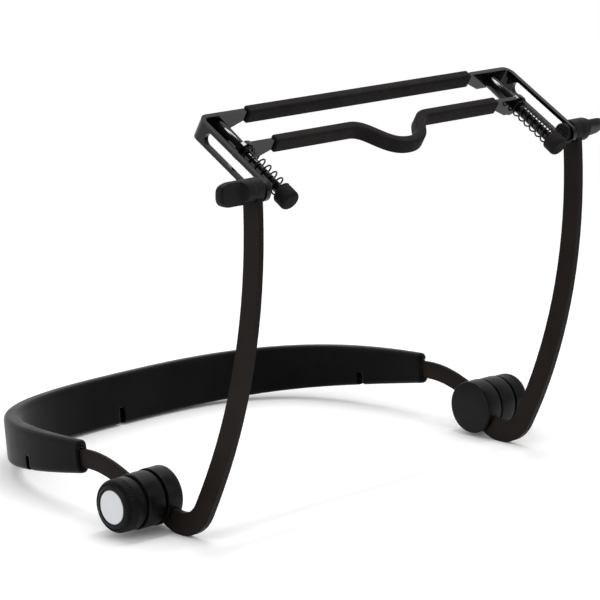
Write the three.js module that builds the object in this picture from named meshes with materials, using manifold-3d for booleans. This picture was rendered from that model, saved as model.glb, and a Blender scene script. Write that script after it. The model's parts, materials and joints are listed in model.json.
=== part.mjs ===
// A harmonica holder worn round the neck: a padded band, two bowed arms on locking hubs, and a
// sprung clamp that slides and tilts between the heads of the arms.
// Millimetres. +X is the wearer's left, -Y is forward past the mouth, +Z is up from the table.
import * as THREE from "three";
import { mergeVertices } from "three/addons/utils/BufferGeometryUtils.js";
import Module from "manifold-3d";

const wasm = await Module();
wasm.setup();

// Fits shared by every piece
const gap = 0.3;
const overrun = 2;

// Hubs, where the band meets the arms
const hubHeight = 11.66;
const hubSetback = 17.4;
const hubSpan = 162.6;
const hubRadius = 10.1;
const hubEdge = 0.5;
const capLength = 2.15;
const spacerLength = 2.7;
const bodyLength = 8.65;
const boltRadius = 2.5;
const boltHeadRadius = 4.5;
const boltHeadLength = 1.2;

// Locking knobs on the hubs
const knobRadius = 9.7;
const knobLength = 7.9;
const knobChamfer = 1.8;
const knobBoreDepth = 6;
const knobCollar = 4.3;
const knobStep = 0.35;
const insertRadius = 4.2;
const insertLength = 4.6;
const badgeRadius = 6.1;
const badgeThickness = 0.8;

// Arms
const armThickness = 2.5;
const armHeadWidth = 7.2;
const armFootWidth = 7.7;
const armBendWidth = 8.3;
const armBowRadius = 215;
const armBendRadius = 12.9;
const armBendSetback = 3.75;
const armEyeRadius = 9.9;
const armHeadHeight = 128.35;
const armHeadReach = 31.77;

// Neck band and its pad
const strapThickness = 1.8;
const strapWidth = 6.9;
const strapEyeRadius = 6.5;
const strapDrop = 0.5;
const strapRise = 22.3;
const strapHandle = 9;
const padEndSetback = 51.7;
const padEndHeight = 20.2;
const padDepth = 82.3;
const padSquareShare = 2.85;
const padThickness = 4.8;
const padEndWidth = 12.2;
const padMiddleWidth = 20.2;
const padFadeShare = 2.5;
const padEdge = 1.6;
const padLip = 1.8;
const padMouth = 1.2;
const notchWidth = 1.5;
const notchHeight = 5.6;
const notchReach = 33;

// Clamp frame
const clampPitch = 30.06;
const frameSpan = 160.8;
const frameThickness = 1.8;
const frameBend = 4;
const plateWidth = 7.5;
const plateDrop = 1.55;
const slotWidth = 4.7;
const slotStart = 8.3;
const slotEnd = 37;
const screwStation = 36;
const barWidth = 3.8;
const flareSetback = 1.5;
const flareLength = 7;

// Rubber sleeves on the two bars
const sleeveSetback = 13.9;
const sleeveThickness = 3.9;
const sleeveHeight = 5.6;
const sleeveEdge = 0.9;

// Moving bar
const movingStation = 16.2;
const lugRadius = 4.6;
const dipHalfWidth = 20;
const dipDepth = 12.3;
const dipEntryHandle = 9.5;
const dipFloorHandle = 12;

// Guide posts, springs and caps
const postInset = 8.2;
const postDrop = 1.9;
const postRadius = 2.6;
const rodRadius = 1.3;
const rivetRadius = 2.4;
const rivetLength = 1;
const rodCapEnd = 42.4;
const rodCapLength = 5.6;
const rodCapRadius = 3.75;
const rodCapEdge = 0.8;
const rodCapBore = 3;
const springRadius = 2.85;
const springWire = 0.6;
const springTurns = 6.5;

// Wing screws
const screwRadius = 1.25;
const screwGrip = 5;
const nutRadius = 3.5;
const nutLength = 1.5;
const nutEdge = 0.4;
const washerRadius = 3.7;
const washerThickness = 0.75;
const wingBossRadius = 4.75;
const wingCollarRadius = 4.3;
const wingCollarLength = 1.7;
const wingBossLength = 6.2;
const wingGroove = 0.45;
const wingLength = 15.2;
const wingRootHeight = 8.8;
const wingTipHeight = 8.2;
const wingThickness = 3.8;
const wingCorner = 3.2;
const wingEdge = 1;
const wingTurnRight = 0;
const wingTurnLeft = 48;

// Facets on round work
const fineFacets = 36;
const midFacets = 24;
const smallFacets = 16;
const armFacets = 18;
const bendFacets = 12;
const padFacets = 40;
const sleeveFacets = 22;
const springSteps = 8;
const springSides = 5;

// Places along X, worked out from the centre of the holder outward
const capInner = hubSpan / 2;
const capOuter = capInner + capLength;
const armInner = capOuter + gap;
const armOuter = armInner + armThickness;
const spacerInner = armOuter + gap;
const spacerOuter = spacerInner + spacerLength;
const bodyInner = spacerOuter + gap;
const bodyOuter = bodyInner + bodyLength;
const knobInner = bodyOuter + gap;
const knobOuter = knobInner + knobLength;
const strapMiddle = bodyInner + strapThickness / 2;
const frameHalf = frameSpan / 2;
const plateInner = frameHalf - frameThickness;
const armHeadInner = frameHalf + 2 * gap + washerThickness;
const armLean = armInner - armHeadInner;
const armHeadOuter = armHeadInner + armThickness;
const wingInner = armHeadOuter + gap;
const nutInner = plateInner - gap - nutLength;
const postHalf = plateInner - postInset;
const sleeveLength = 2 * (postHalf - sleeveSetback);
const flareInner = sleeveLength / 2 + flareSetback;
const flareOuter = flareInner + flareLength;
const boltBore = boltRadius + gap;
const screwBore = screwRadius + gap;
const rodBore = rodRadius + gap;

// Finishes
function finish(color, roughness, metalness) {
  return new THREE.MeshStandardMaterial({ color, roughness, metalness });
}
const enamel = finish(0x131313, 0.22, 0.35);
const satinBlack = finish(0x262322, 0.55, 0.3);
const rubber = finish(0x2c2c2b, 0.75, 0);
const padRubber = finish(0x2e2c2d, 0.8, 0);
const blackPlastic = finish(0x232122, 0.5, 0);
const badgeWhite = finish(0xf1f3f4, 0.45, 0);
const springSteel = finish(0x2a2a2a, 0.35, 0.8);
const steel = finish(0x8c8c8c, 0.35, 0.9);
const brass = finish(0xb08d3f, 0.35, 0.9);

const axisX = new THREE.Vector3(1, 0, 0);
const axisY = new THREE.Vector3(0, 1, 0);
const axisZ = new THREE.Vector3(0, 0, 1);

// Solids and meshes
function toSolid(geometry) {
  const bare = geometry.clone();
  bare.deleteAttribute("normal");
  bare.deleteAttribute("uv");
  const welded = mergeVertices(bare);
  const vertProperties = new Float32Array(welded.attributes.position.array);
  const triVerts = new Uint32Array(welded.index.array);
  return new wasm.Manifold(new wasm.Mesh({ numProp: 3, vertProperties, triVerts }));
}

function toGeometry(solid) {
  const mesh = solid.getMesh();
  const geometry = new THREE.BufferGeometry();
  const position = new THREE.BufferAttribute(new Float32Array(mesh.vertProperties), 3);
  geometry.setAttribute("position", position);
  geometry.setIndex(new THREE.BufferAttribute(new Uint32Array(mesh.triVerts), 1));
  geometry.computeVertexNormals();
  return geometry;
}

function join(first, ...rest) {
  return rest.reduce((sum, next) => sum.add(toSolid(next)), toSolid(first));
}

function carve(solid, ...cutters) {
  return cutters.reduce((left, cutter) => left.subtract(toSolid(cutter)), solid);
}

function mirrored(geometry) {
  const copy = geometry.clone();
  copy.scale(-1, 1, 1);
  const index = copy.index ? copy.index.array : Array.from(copy.attributes.position.array.keys());
  const order = [];
  for (let i = 0; i < index.length; i += 3) {
    order.push(index[i], index[i + 2], index[i + 1]);
  }
  copy.setIndex(order);
  copy.computeVertexNormals();
  return copy;
}

// A profile of [radius, station] pairs turned about X, with stations measured along +X
function turnedAcross(profile, facets) {
  const points = profile.map(([radius, station]) => new THREE.Vector2(radius, station));
  return new THREE.LatheGeometry(points, facets).rotateZ(-Math.PI / 2);
}

// The same turned about the clamp's travel, with stations measured forward, along -Y
function turnedForward(profile, facets) {
  const points = profile.map(([radius, station]) => new THREE.Vector2(radius, station));
  return new THREE.LatheGeometry(points, facets).rotateX(Math.PI);
}

function rodAcross(radius, from, to, facets) {
  return turnedAcross([[0, from], [radius, from], [radius, to], [0, to]], facets);
}

function rodForward(radius, from, to, facets) {
  return turnedForward([[0, from], [radius, from], [radius, to], [0, to]], facets);
}

function placed(geometry, alongX, alongY, alongZ, origin) {
  const matrix = new THREE.Matrix4().makeBasis(alongX, alongY, alongZ).setPosition(origin);
  return geometry.applyMatrix4(matrix);
}

// Prisms from an outline in (y, z), (x, z) or (x, y)
function prismX(outline, from, to) {
  const geometry = new THREE.ExtrudeGeometry(outline, { depth: to - from, bevelEnabled: false });
  return placed(geometry, axisY, axisZ, axisX, new THREE.Vector3(from, 0, 0));
}

function prismY(outline, from, to) {
  const geometry = new THREE.ExtrudeGeometry(outline, { depth: to - from, bevelEnabled: false });
  const back = axisY.clone().negate();
  return placed(geometry, axisX, axisZ, back, new THREE.Vector3(0, to, 0));
}

function prismZ(outline, from, to, edge = 0) {
  const settings = { depth: to - from - 2 * edge, bevelEnabled: edge > 0, bevelSegments: 2 };
  settings.bevelThickness = edge;
  settings.bevelSize = edge;
  settings.bevelOffset = -edge;
  return new THREE.ExtrudeGeometry(outline, settings).translate(0, 0, from + edge);
}

function rectangle(width, height, centreX = 0, centreY = 0) {
  return new THREE.Shape([
    new THREE.Vector2(centreX - width / 2, centreY - height / 2),
    new THREE.Vector2(centreX + width / 2, centreY - height / 2),
    new THREE.Vector2(centreX + width / 2, centreY + height / 2),
    new THREE.Vector2(centreX - width / 2, centreY + height / 2),
  ]);
}

function roundedRectangle(width, height, radius) {
  const x = width / 2 - radius;
  const y = height / 2 - radius;
  const shape = new THREE.Shape();
  shape.absarc(x, y, radius, 0, Math.PI / 2);
  shape.absarc(-x, y, radius, Math.PI / 2, Math.PI);
  shape.absarc(-x, -y, radius, Math.PI, Math.PI * 3 / 2);
  shape.absarc(x, -y, radius, Math.PI * 3 / 2, Math.PI * 2);
  return shape;
}

// A skin over rings of equally many points, closed by a fan at each end
function loft(rings) {
  const count = rings[0].length;
  const positions = rings.flat().flatMap((point) => point.toArray());
  const index = [];
  for (let ring = 0; ring + 1 < rings.length; ring += 1) {
    for (let side = 0; side < count; side += 1) {
      const a = ring * count + side;
      const b = ring * count + (side + 1) % count;
      index.push(a, b, b + count, a, b + count, a + count);
    }
  }
  const last = (rings.length - 1) * count;
  for (let side = 1; side + 1 < count; side += 1) {
    index.push(0, side + 1, side);
    index.push(last, last + side, last + side + 1);
  }
  const geometry = new THREE.BufferGeometry();
  geometry.setAttribute("position", new THREE.Float32BufferAttribute(positions, 3));
  geometry.setIndex(index);
  geometry.computeVertexNormals();
  return geometry;
}

// Hubs, drawn for the left side about the hub axis
function capGeometry() {
  const pocketRadius = boltHeadRadius + gap;
  const pocketFloor = capOuter - boltHeadLength - gap;
  return turnedAcross([
    [0, capInner], [hubRadius - hubEdge, capInner], [hubRadius, capInner + hubEdge],
    [hubRadius, capOuter], [pocketRadius, capOuter], [pocketRadius, pocketFloor], [0, pocketFloor],
  ], fineFacets);
}

function spacerGeometry() {
  const edge = hubEdge / 2;
  return turnedAcross([
    [boltBore, spacerInner], [hubRadius - edge, spacerInner], [hubRadius, spacerInner + edge],
    [hubRadius, spacerOuter - edge], [hubRadius - edge, spacerOuter], [boltBore, spacerOuter],
    [boltBore, spacerInner],
  ], fineFacets);
}

function bodyGeometry() {
  const edge = hubEdge;
  const seat = bodyInner + strapThickness + gap;
  const blank = turnedAcross([
    [boltBore, seat], [strapEyeRadius + gap, seat], [strapEyeRadius + gap, bodyInner],
    [hubRadius - edge, bodyInner], [hubRadius, bodyInner + edge], [hubRadius, bodyOuter - edge],
    [hubRadius - edge, bodyOuter], [boltBore, bodyOuter], [boltBore, seat],
  ], fineFacets);
  const mouthLength = hubRadius + overrun;
  const mouthHeight = strapWidth + 2 * gap;
  const mouth = prismX(rectangle(mouthLength, mouthHeight, mouthLength / 2), bodyInner - overrun, seat);
  mouth.rotateX(THREE.MathUtils.degToRad(strapRise));
  return toGeometry(carve(toSolid(blank), mouth));
}

function boltGeometry() {
  const headFace = capOuter - boltHeadLength;
  const end = knobInner + knobBoreDepth - gap;
  return turnedAcross([
    [0, headFace], [boltHeadRadius, headFace], [boltHeadRadius, capOuter],
    [boltRadius, capOuter], [boltRadius, end], [0, end],
  ], midFacets);
}

function knobGeometry() {
  const bore = insertRadius + gap;
  const boreEnd = knobInner + knobBoreDepth;
  const pocket = badgeRadius + gap;
  const pocketFloor = knobOuter - badgeThickness;
  return turnedAcross([
    [0, boreEnd], [bore, boreEnd], [bore, knobInner], [knobRadius - hubEdge, knobInner],
    [knobRadius, knobInner + hubEdge], [knobRadius, knobInner + knobCollar],
    [knobRadius - knobStep, knobInner + knobCollar + knobStep],
    [knobRadius - knobStep, knobOuter - knobChamfer],
    [knobRadius - knobStep - knobChamfer, knobOuter], [pocket, knobOuter], [pocket, pocketFloor],
    [0, pocketFloor],
  ], fineFacets);
}

function insertGeometry() {
  const start = knobInner + gap;
  return turnedAcross([
    [boltBore, start], [insertRadius, start], [insertRadius, start + insertLength],
    [boltBore, start + insertLength], [boltBore, start],
  ], midFacets);
}

function badgeGeometry() {
  return rodAcross(badgeRadius, knobOuter - badgeThickness + gap, knobOuter, midFacets);
}

// Arms, drawn for the left side about the hub axis: a long bow, a bend under the hub and an eye
const armHead = new THREE.Vector2(-armHeadReach - hubSetback, armHeadHeight - hubHeight);
const bendCentre = new THREE.Vector2(
  armBendSetback - hubSetback,
  armBendRadius + armBendWidth / 2 - hubHeight,
);

// The centre on the rearward side where circles about a and b, of the radii given, meet
function circlesMeet(a, radiusA, b, radiusB) {
  const across = b.clone().sub(a);
  const distance = across.length();
  const unit = across.divideScalar(distance);
  const near = (radiusA ** 2 - radiusB ** 2 + distance ** 2) / (2 * distance);
  const height = Math.sqrt(radiusA ** 2 - near ** 2);
  const side = new THREE.Vector2(-unit.y, unit.x);
  return a.clone().addScaledVector(unit, near).addScaledVector(side, height);
}

function armOutline() {
  const bowCentre = circlesMeet(armHead, armBowRadius, bendCentre, armBowRadius - armBendRadius);
  const headAngle = armHead.clone().sub(bowCentre).angle();
  const footAngle = bendCentre.clone().sub(bowCentre).angle();
  const reach = bendCentre.length();
  const eyeAngle = bendCentre.clone().negate().angle() - Math.acos(armBendRadius / reach);
  const front = [];
  const rear = [];
  function station(centre, radius, angle, width) {
    const out = new THREE.Vector2(Math.cos(angle), Math.sin(angle));
    front.push(centre.clone().addScaledVector(out, radius + width / 2));
    rear.push(centre.clone().addScaledVector(out, radius - width / 2));
  }
  for (let step = 0; step < armFacets; step += 1) {
    const share = step / armFacets;
    const angle = THREE.MathUtils.lerp(headAngle, footAngle, share);
    const width = THREE.MathUtils.lerp(armHeadWidth, armFootWidth, share);
    station(bowCentre, armBowRadius, angle, width);
  }
  for (let step = 0; step <= bendFacets; step += 1) {
    const share = step / bendFacets;
    const angle = THREE.MathUtils.lerp(footAngle, eyeAngle, share);
    const width = THREE.MathUtils.lerp(armFootWidth, armBendWidth, Math.min(2 * share, 1));
    station(bendCentre, armBendRadius, angle, width);
  }
  const inward = new THREE.Vector2(Math.cos(eyeAngle), Math.sin(eyeAngle));
  front.push(inward.clone().multiplyScalar(armBendWidth / 2));
  rear.push(inward.clone().multiplyScalar(-armBendWidth / 2));
  return new THREE.Shape([...front, ...rear.reverse()]);
}

function armGeometry() {
  const blade = prismX(armOutline(), armInner, armOuter);
  const eye = rodAcross(armEyeRadius, armInner, armOuter, fineFacets);
  const head = rodAcross(armHeadWidth / 2, armInner, armOuter, smallFacets);
  head.translate(0, armHead.x, armHead.y);
  const eyeHole = rodAcross(boltBore, armInner - overrun, armOuter + overrun, midFacets);
  const headHole = rodAcross(screwBore, armInner - overrun, armOuter + overrun, smallFacets);
  headHole.translate(0, armHead.x, armHead.y);
  return leaned(toGeometry(carve(join(blade, eye, head), eyeHole, headHole)));
}

// Above the eye the arm leans in toward its fellow
function leaned(geometry) {
  const position = geometry.attributes.position;
  for (let i = 0; i < position.count; i += 1) {
    const rise = Math.max(0, position.getZ(i) - armEyeRadius);
    const share = Math.min(1, rise / (armHead.y - armEyeRadius));
    position.setX(i, position.getX(i) - armLean * share);
  }
  geometry.computeVertexNormals();
  return geometry;
}

// Neck band: the course of its middle line about the hub axis, from the left eye to the rear
const padStart = new THREE.Vector3(strapMiddle, padEndSetback - hubSetback, padEndHeight - hubHeight);
const padFall = fallAngle();

// The slope at which the middle of the pad comes down onto the table
function fallAngle() {
  const along = padDepth + padThickness / 2;
  const down = padMiddleWidth / 2;
  return Math.asin(padEndHeight / Math.hypot(along, down)) - Math.atan2(down, along);
}

const padAlong = new THREE.Vector3(0, Math.cos(padFall), -Math.sin(padFall));
const padUp = new THREE.Vector3(0, Math.sin(padFall), Math.cos(padFall));

function padCourse() {
  const dense = [];
  const samples = padFacets * 8;
  for (let i = 0; i <= samples; i += 1) {
    const angle = Math.PI * i / samples;
    const side = Math.sign(Math.cos(angle));
    const across = side * Math.abs(Math.cos(angle)) ** (2 / padSquareShare);
    const depth = Math.abs(Math.sin(angle)) ** (2 / padSquareShare);
    const point = new THREE.Vector3(padStart.x * across, padStart.y, padStart.z);
    dense.push(point.addScaledVector(padAlong, padDepth * depth));
  }
  return spaced(dense, padFacets);
}

// Points at equal steps along a chain of points
function spaced(points, count) {
  const lengths = [0];
  for (let i = 1; i < points.length; i += 1) {
    lengths.push(lengths[i - 1] + points[i].distanceTo(points[i - 1]));
  }
  const total = lengths[lengths.length - 1];
  const result = [];
  let at = 0;
  for (let i = 0; i <= count; i += 1) {
    const wanted = total * i / count;
    while (at + 2 < points.length && lengths[at + 1] < wanted) {
      at += 1;
    }
    const share = (wanted - lengths[at]) / (lengths[at + 1] - lengths[at]);
    result.push(points[at].clone().lerp(points[at + 1], share));
  }
  return result;
}

// Stations of the band, each with its place and the way its width points
function bandStations() {
  const rise = THREE.MathUtils.degToRad(strapRise);
  const out = new THREE.Vector3(0, Math.cos(rise), Math.sin(rise));
  const start = new THREE.Vector3(strapMiddle, 0, 0).addScaledVector(out, hubRadius + gap);
  const end = padStart.clone().addScaledVector(padUp, -strapDrop);
  const side = new THREE.CubicBezierCurve3(
    start,
    start.clone().addScaledVector(out, strapHandle),
    end.clone().addScaledVector(padAlong, -strapHandle),
    end,
  );
  const arch = side.getPoints(bendFacets);
  const left = arch.map((place, i) => {
    const tangent = side.getTangent(i / bendFacets);
    return { place, up: axisX.clone().cross(tangent) };
  });
  left.unshift({ place: new THREE.Vector3(strapMiddle, 0, 0), up: axisX.clone().cross(out) });
  const right = left.map(({ place, up }) => ({
    place: place.clone().setX(-place.x),
    up,
  }));
  return [...left, ...strapInPad().slice(1, -1), ...right.reverse()];
}

// Inside the pad the band runs a little below the pad's middle line
function strapInPad() {
  return padCourse().map((place) => ({
    place: place.addScaledVector(padUp, -strapDrop),
    up: padUp,
  }));
}

// The direction of travel at each of a row of places
function headings(places) {
  return places.map((place, i) => {
    const before = places[Math.max(i - 1, 0)];
    const after = places[Math.min(i + 1, places.length - 1)];
    return after.clone().sub(before).normalize();
  });
}

// Rings of a section, given in (outward, upward) pairs, set square to a row of stations
function ringsAlong(stations, sectionAt) {
  const ways = headings(stations.map(({ place }) => place));
  return stations.map(({ place, up }, i) => {
    const outward = ways[i].clone().cross(up).normalize();
    return sectionAt(i).map(([out, high]) => (
      place.clone().addScaledVector(outward, out).addScaledVector(up, high)
    )).reverse();
  });
}

function boxSection(thickness, width) {
  const t = thickness / 2;
  const w = width / 2;
  return [[t, -w], [t, w], [-t, w], [-t, -w]];
}

function bandGeometry() {
  const strap = loft(ringsAlong(bandStations(), () => boxSection(strapThickness, strapWidth)));
  const strapOuter = bodyInner + strapThickness;
  const eye = rodAcross(strapEyeRadius, bodyInner, strapOuter, midFacets);
  const hole = rodAcross(boltBore, bodyInner - overrun, strapOuter + overrun, midFacets);
  const solid = join(strap, eye, mirrored(eye));
  return toGeometry(carve(solid, hole, mirrored(hole)));
}

// Pad: a moulded sleeve, widest at the nape, with the band running through it
function padWidthAt(share) {
  const fromMiddle = Math.abs(2 * share - 1);
  return THREE.MathUtils.lerp(padMiddleWidth, padEndWidth, fromMiddle ** padFadeShare);
}

function padSection(thickness, width) {
  const outline = roundedRectangle(thickness, width, padEdge).extractPoints(3).shape;
  return outline.map((point) => [point.x, point.y]);
}

function padStations() {
  return padCourse().map((place) => ({ place, up: padUp }));
}

function padGeometry() {
  const stations = padStations();
  const rings = ringsAlong(stations, (i) => padSection(padThickness, padWidthAt(i / padFacets)));
  const inside = strapInPad();
  const channelStations = [
    { place: inside[0].place.clone().addScaledVector(padAlong, -overrun), up: padUp },
    ...inside,
    { place: inside[padFacets].place.clone().addScaledVector(padAlong, -overrun), up: padUp },
  ];
  const channelSection = boxSection(strapThickness + 2 * gap, strapWidth + 2 * gap);
  const channel = loft(ringsAlong(channelStations, () => channelSection));
  const mouth = padMouthCutter();
  const notch = notchCutter(stations, notchReach);
  const middleNotch = notchCutter(stations, courseLength(stations) / 2);
  const cutters = [channel, mouth, mirrored(mouth), notch, mirrored(notch), middleNotch];
  return toGeometry(carve(toSolid(loft(rings)), ...cutters));
}

// The open mouth at a pad end, cut through its outer wall between two lips
function padMouthCutter() {
  const width = padEndWidth - 2 * padLip;
  const box = new THREE.BoxGeometry(padThickness, padMouth + overrun, width);
  const centre = padStart.clone().addScaledVector(padAlong, (padMouth - overrun) / 2);
  centre.x += padThickness / 2;
  return placed(box, axisX, padAlong, padUp, centre);
}

function courseLength(stations) {
  const places = stations.map(({ place }) => place);
  return places.slice(1).reduce((sum, place, i) => sum + place.distanceTo(places[i]), 0);
}

// A short upright notch through both walls, open at the lower edge
function notchCutter(stations, reach) {
  const share = reach / courseLength(stations);
  const places = stations.map(({ place }) => place);
  const at = Math.round(share * padFacets);
  const way = headings(places)[at];
  const outward = way.clone().cross(padUp).normalize();
  const across = padThickness + 2 * overrun;
  const box = new THREE.BoxGeometry(across, notchWidth, notchHeight + overrun);
  const sink = padWidthAt(share) / 2 - (notchHeight - overrun) / 2;
  const centre = places[at].clone().addScaledVector(padUp, -sink);
  return placed(box, outward, way, padUp, centre);
}

// Clamp frame: one strip bent to a channel, slotted along both side plates
function channelOutline() {
  const rear = frameThickness / 2;
  const end = -slotEnd - plateWidth;
  const cornerX = frameHalf - frameBend;
  const cornerY = rear - frameBend;
  const innerBend = frameBend - frameThickness;
  const shape = new THREE.Shape();
  shape.moveTo(-frameHalf, end);
  shape.lineTo(-frameHalf, cornerY);
  shape.absarc(-cornerX, cornerY, frameBend, Math.PI, Math.PI / 2, true);
  shape.lineTo(cornerX, rear);
  shape.absarc(cornerX, cornerY, frameBend, Math.PI / 2, 0, true);
  shape.lineTo(frameHalf, end);
  shape.lineTo(plateInner, end);
  shape.lineTo(plateInner, cornerY);
  shape.absarc(cornerX, cornerY, innerBend, 0, Math.PI / 2);
  shape.lineTo(-cornerX, -rear);
  shape.absarc(-cornerX, cornerY, innerBend, Math.PI / 2, Math.PI);
  shape.lineTo(-plateInner, end);
  shape.closePath();
  return shape;
}

// A row with round ends, in (y, z), from one station forward to another
function roundEnded(from, to, width, height) {
  const shape = new THREE.Shape();
  shape.absarc(-from, height, width / 2, -Math.PI / 2, Math.PI / 2);
  shape.absarc(-to, height, width / 2, Math.PI / 2, Math.PI * 3 / 2);
  return shape;
}

// What is cut away above or below the middle of the fixed bar, between its two flares
function waistOutline(side) {
  const edge = side * barWidth / 2;
  const far = side * (plateWidth + overrun);
  const slope = (flareOuter - flareInner) / (plateWidth / 2 + plateDrop - barWidth / 2);
  const spread = flareInner + Math.abs(far - edge) * slope;
  return new THREE.Shape([
    new THREE.Vector2(-flareInner, edge),
    new THREE.Vector2(flareInner, edge),
    new THREE.Vector2(spread, far),
    new THREE.Vector2(-spread, far),
  ]);
}

function postHoles(from, to) {
  const hole = rodForward(rodBore, from, to, smallFacets).translate(postHalf, 0, -postDrop);
  return [hole, mirrored(hole)];
}

function frameGeometry() {
  const bottom = -plateDrop - plateWidth / 2;
  const channel = prismZ(channelOutline(), bottom, bottom + plateWidth);
  const side = frameHalf + overrun;
  const profile = roundEnded(-overrun - plateWidth, slotEnd, plateWidth, -plateDrop);
  const slot = roundEnded(slotStart, slotEnd, slotWidth, -plateDrop);
  const solid = toSolid(channel).intersect(toSolid(prismX(profile, -side, side)));
  const waist = frameThickness / 2 + overrun;
  return toGeometry(carve(
    solid,
    prismX(slot, -side, side),
    prismY(waistOutline(1), -waist, waist),
    prismY(waistOutline(-1), -waist, waist),
    ...postHoles(-waist, waist),
  ));
}

// Moving bar: a strip with a dip in the middle and a round lug on each guide post
function dipCourse(halfLength) {
  const floor = movingStation + dipDepth;
  const down = new THREE.CubicBezierCurve(
    new THREE.Vector2(-dipHalfWidth, -movingStation),
    new THREE.Vector2(-dipHalfWidth + dipEntryHandle, -movingStation),
    new THREE.Vector2(-dipFloorHandle, -floor),
    new THREE.Vector2(0, -floor),
  );
  const left = down.getPoints(sleeveFacets / 2);
  const right = left.slice(0, -1).reverse().map((point) => new THREE.Vector2(-point.x, point.y));
  return [
    new THREE.Vector2(-halfLength, -movingStation),
    ...left,
    ...right,
    new THREE.Vector2(halfLength, -movingStation),
  ];
}

// The plan of a strip of even thickness that follows a course
function stripOutline(course, thickness) {
  const sides = [[], []];
  course.forEach((point, i) => {
    const before = course[Math.max(i - 1, 0)];
    const after = course[Math.min(i + 1, course.length - 1)];
    const way = after.clone().sub(before).normalize();
    const across = new THREE.Vector2(-way.y, way.x);
    sides[0].push(point.clone().addScaledVector(across, -thickness / 2));
    sides[1].push(point.clone().addScaledVector(across, thickness / 2));
  });
  return new THREE.Shape([...sides[0], ...sides[1].reverse()]);
}

function movingBarGeometry() {
  const strip = prismZ(stripOutline(dipCourse(postHalf), frameThickness), -lugRadius - postDrop, lugRadius);
  const half = barWidth / 2;
  const foot = -postDrop - lugRadius / Math.SQRT2;
  const front = new THREE.Shape([
    new THREE.Vector2(-postHalf, half),
    new THREE.Vector2(-postHalf, foot),
    new THREE.Vector2(-flareOuter, foot),
    new THREE.Vector2(-flareInner, -half),
    new THREE.Vector2(flareInner, -half),
    new THREE.Vector2(flareOuter, foot),
    new THREE.Vector2(postHalf, foot),
    new THREE.Vector2(postHalf, half),
  ]);
  const depth = movingStation + dipDepth + overrun;
  const from = movingStation - frameThickness / 2;
  const to = movingStation + frameThickness / 2;
  const lug = rodForward(lugRadius, from, to, midFacets).translate(postHalf, 0, -postDrop);
  const bar = toSolid(strip).intersect(toSolid(prismY(front, -depth, 0)));
  const solid = bar.add(toSolid(lug)).add(toSolid(mirrored(lug)));
  return toGeometry(carve(solid, ...postHoles(from - overrun, to + overrun)));
}

// Rubber sleeves
function fixedSleeveGeometry() {
  const shape = roundedRectangle(sleeveThickness, sleeveHeight, sleeveEdge);
  const hole = rectangle(frameThickness + 2 * gap, barWidth + 2 * gap);
  shape.holes.push(new THREE.Path(hole.getPoints()));
  const settings = { depth: sleeveLength, bevelEnabled: false, curveSegments: 3 };
  const geometry = new THREE.ExtrudeGeometry(shape, settings);
  return placed(geometry, axisY, axisZ, axisX, new THREE.Vector3(-sleeveLength / 2, 0, 0));
}

function movingSleeveGeometry() {
  const half = sleeveHeight / 2;
  const outline = stripOutline(dipCourse(sleeveLength / 2), sleeveThickness);
  const outer = prismZ(outline, -half, half, sleeveEdge);
  const boreCourse = dipCourse(sleeveLength / 2 + overrun);
  const boreHalf = barWidth / 2 + gap;
  const bore = prismZ(stripOutline(boreCourse, frameThickness + 2 * gap), -boreHalf, boreHalf);
  return toGeometry(carve(toSolid(outer), bore));
}

// Guide posts, with a rivet head behind the fixed bar and a shoulder that stops the moving bar
const barFace = frameThickness / 2;
const shoulderStart = barFace + gap;
const shoulderEnd = movingStation - barFace - gap;
const rodCapStart = rodCapEnd - rodCapLength;
const springStart = movingStation + barFace + gap;
const springEnd = rodCapStart - gap;

function postGeometry() {
  const head = -barFace - gap - rivetLength;
  const end = rodCapStart + rodCapBore - gap;
  return turnedForward([
    [0, head], [rivetRadius, head], [rivetRadius, -shoulderStart], [rodRadius, -shoulderStart],
    [rodRadius, shoulderStart], [postRadius, shoulderStart], [postRadius, shoulderEnd],
    [rodRadius, shoulderEnd], [rodRadius, end], [0, end],
  ], midFacets);
}

function rodCapGeometry() {
  const bore = rodRadius + gap;
  return turnedForward([
    [0, rodCapStart + rodCapBore], [bore, rodCapStart + rodCapBore], [bore, rodCapStart],
    [rodCapRadius - rodCapEdge, rodCapStart], [rodCapRadius, rodCapStart + rodCapEdge],
    [rodCapRadius, rodCapEnd - rodCapEdge], [rodCapRadius - rodCapEdge, rodCapEnd],
    [0, rodCapEnd],
  ], midFacets);
}

// An open coil along the post, whose two ends turn square to the faces they press on
function springCourse() {
  const length = springEnd - springStart;
  const coiled = length - 2 * springWire;
  const steps = Math.round(springTurns * springSteps);
  const points = [new THREE.Vector3(springRadius, 0, 0)];
  for (let step = 0; step <= steps; step += 1) {
    const angle = Math.PI * 2 * springTurns * step / steps;
    const along = springWire + coiled * step / steps;
    points.push(new THREE.Vector3(
      springRadius * Math.cos(angle),
      -along,
      springRadius * Math.sin(angle),
    ));
  }
  const tail = points[points.length - 1].clone();
  tail.y = -length;
  points.push(tail);
  return points;
}

function springGeometry() {
  const course = springCourse();
  const ways = headings(course);
  const rings = course.map((point, i) => {
    const outward = new THREE.Vector3(point.x, 0, point.z).normalize();
    const across = ways[i].clone().cross(outward).normalize();
    const ring = [];
    for (let side = 0; side < springSides; side += 1) {
      const angle = Math.PI * 2 * side / springSides;
      ring.push(point.clone()
        .addScaledVector(outward, Math.cos(angle) * springWire / 2)
        .addScaledVector(across, Math.sin(angle) * springWire / 2));
    }
    return ring;
  });
  console.log(`spring wire to itself: ${leastGap(rings).toFixed(2)} mm`);
  return loft(rings).translate(0, -springStart, 0);
}

// The least distance between two turns of the wire, over rings at least half a turn apart
function leastGap(rings) {
  let least = Infinity;
  rings.forEach((ring, i) => {
    rings.slice(i + springSteps / 2).forEach((other) => {
      ring.forEach((a) => other.forEach((b) => {
        least = Math.min(least, a.distanceTo(b));
      }));
    });
  });
  return least;
}

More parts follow.
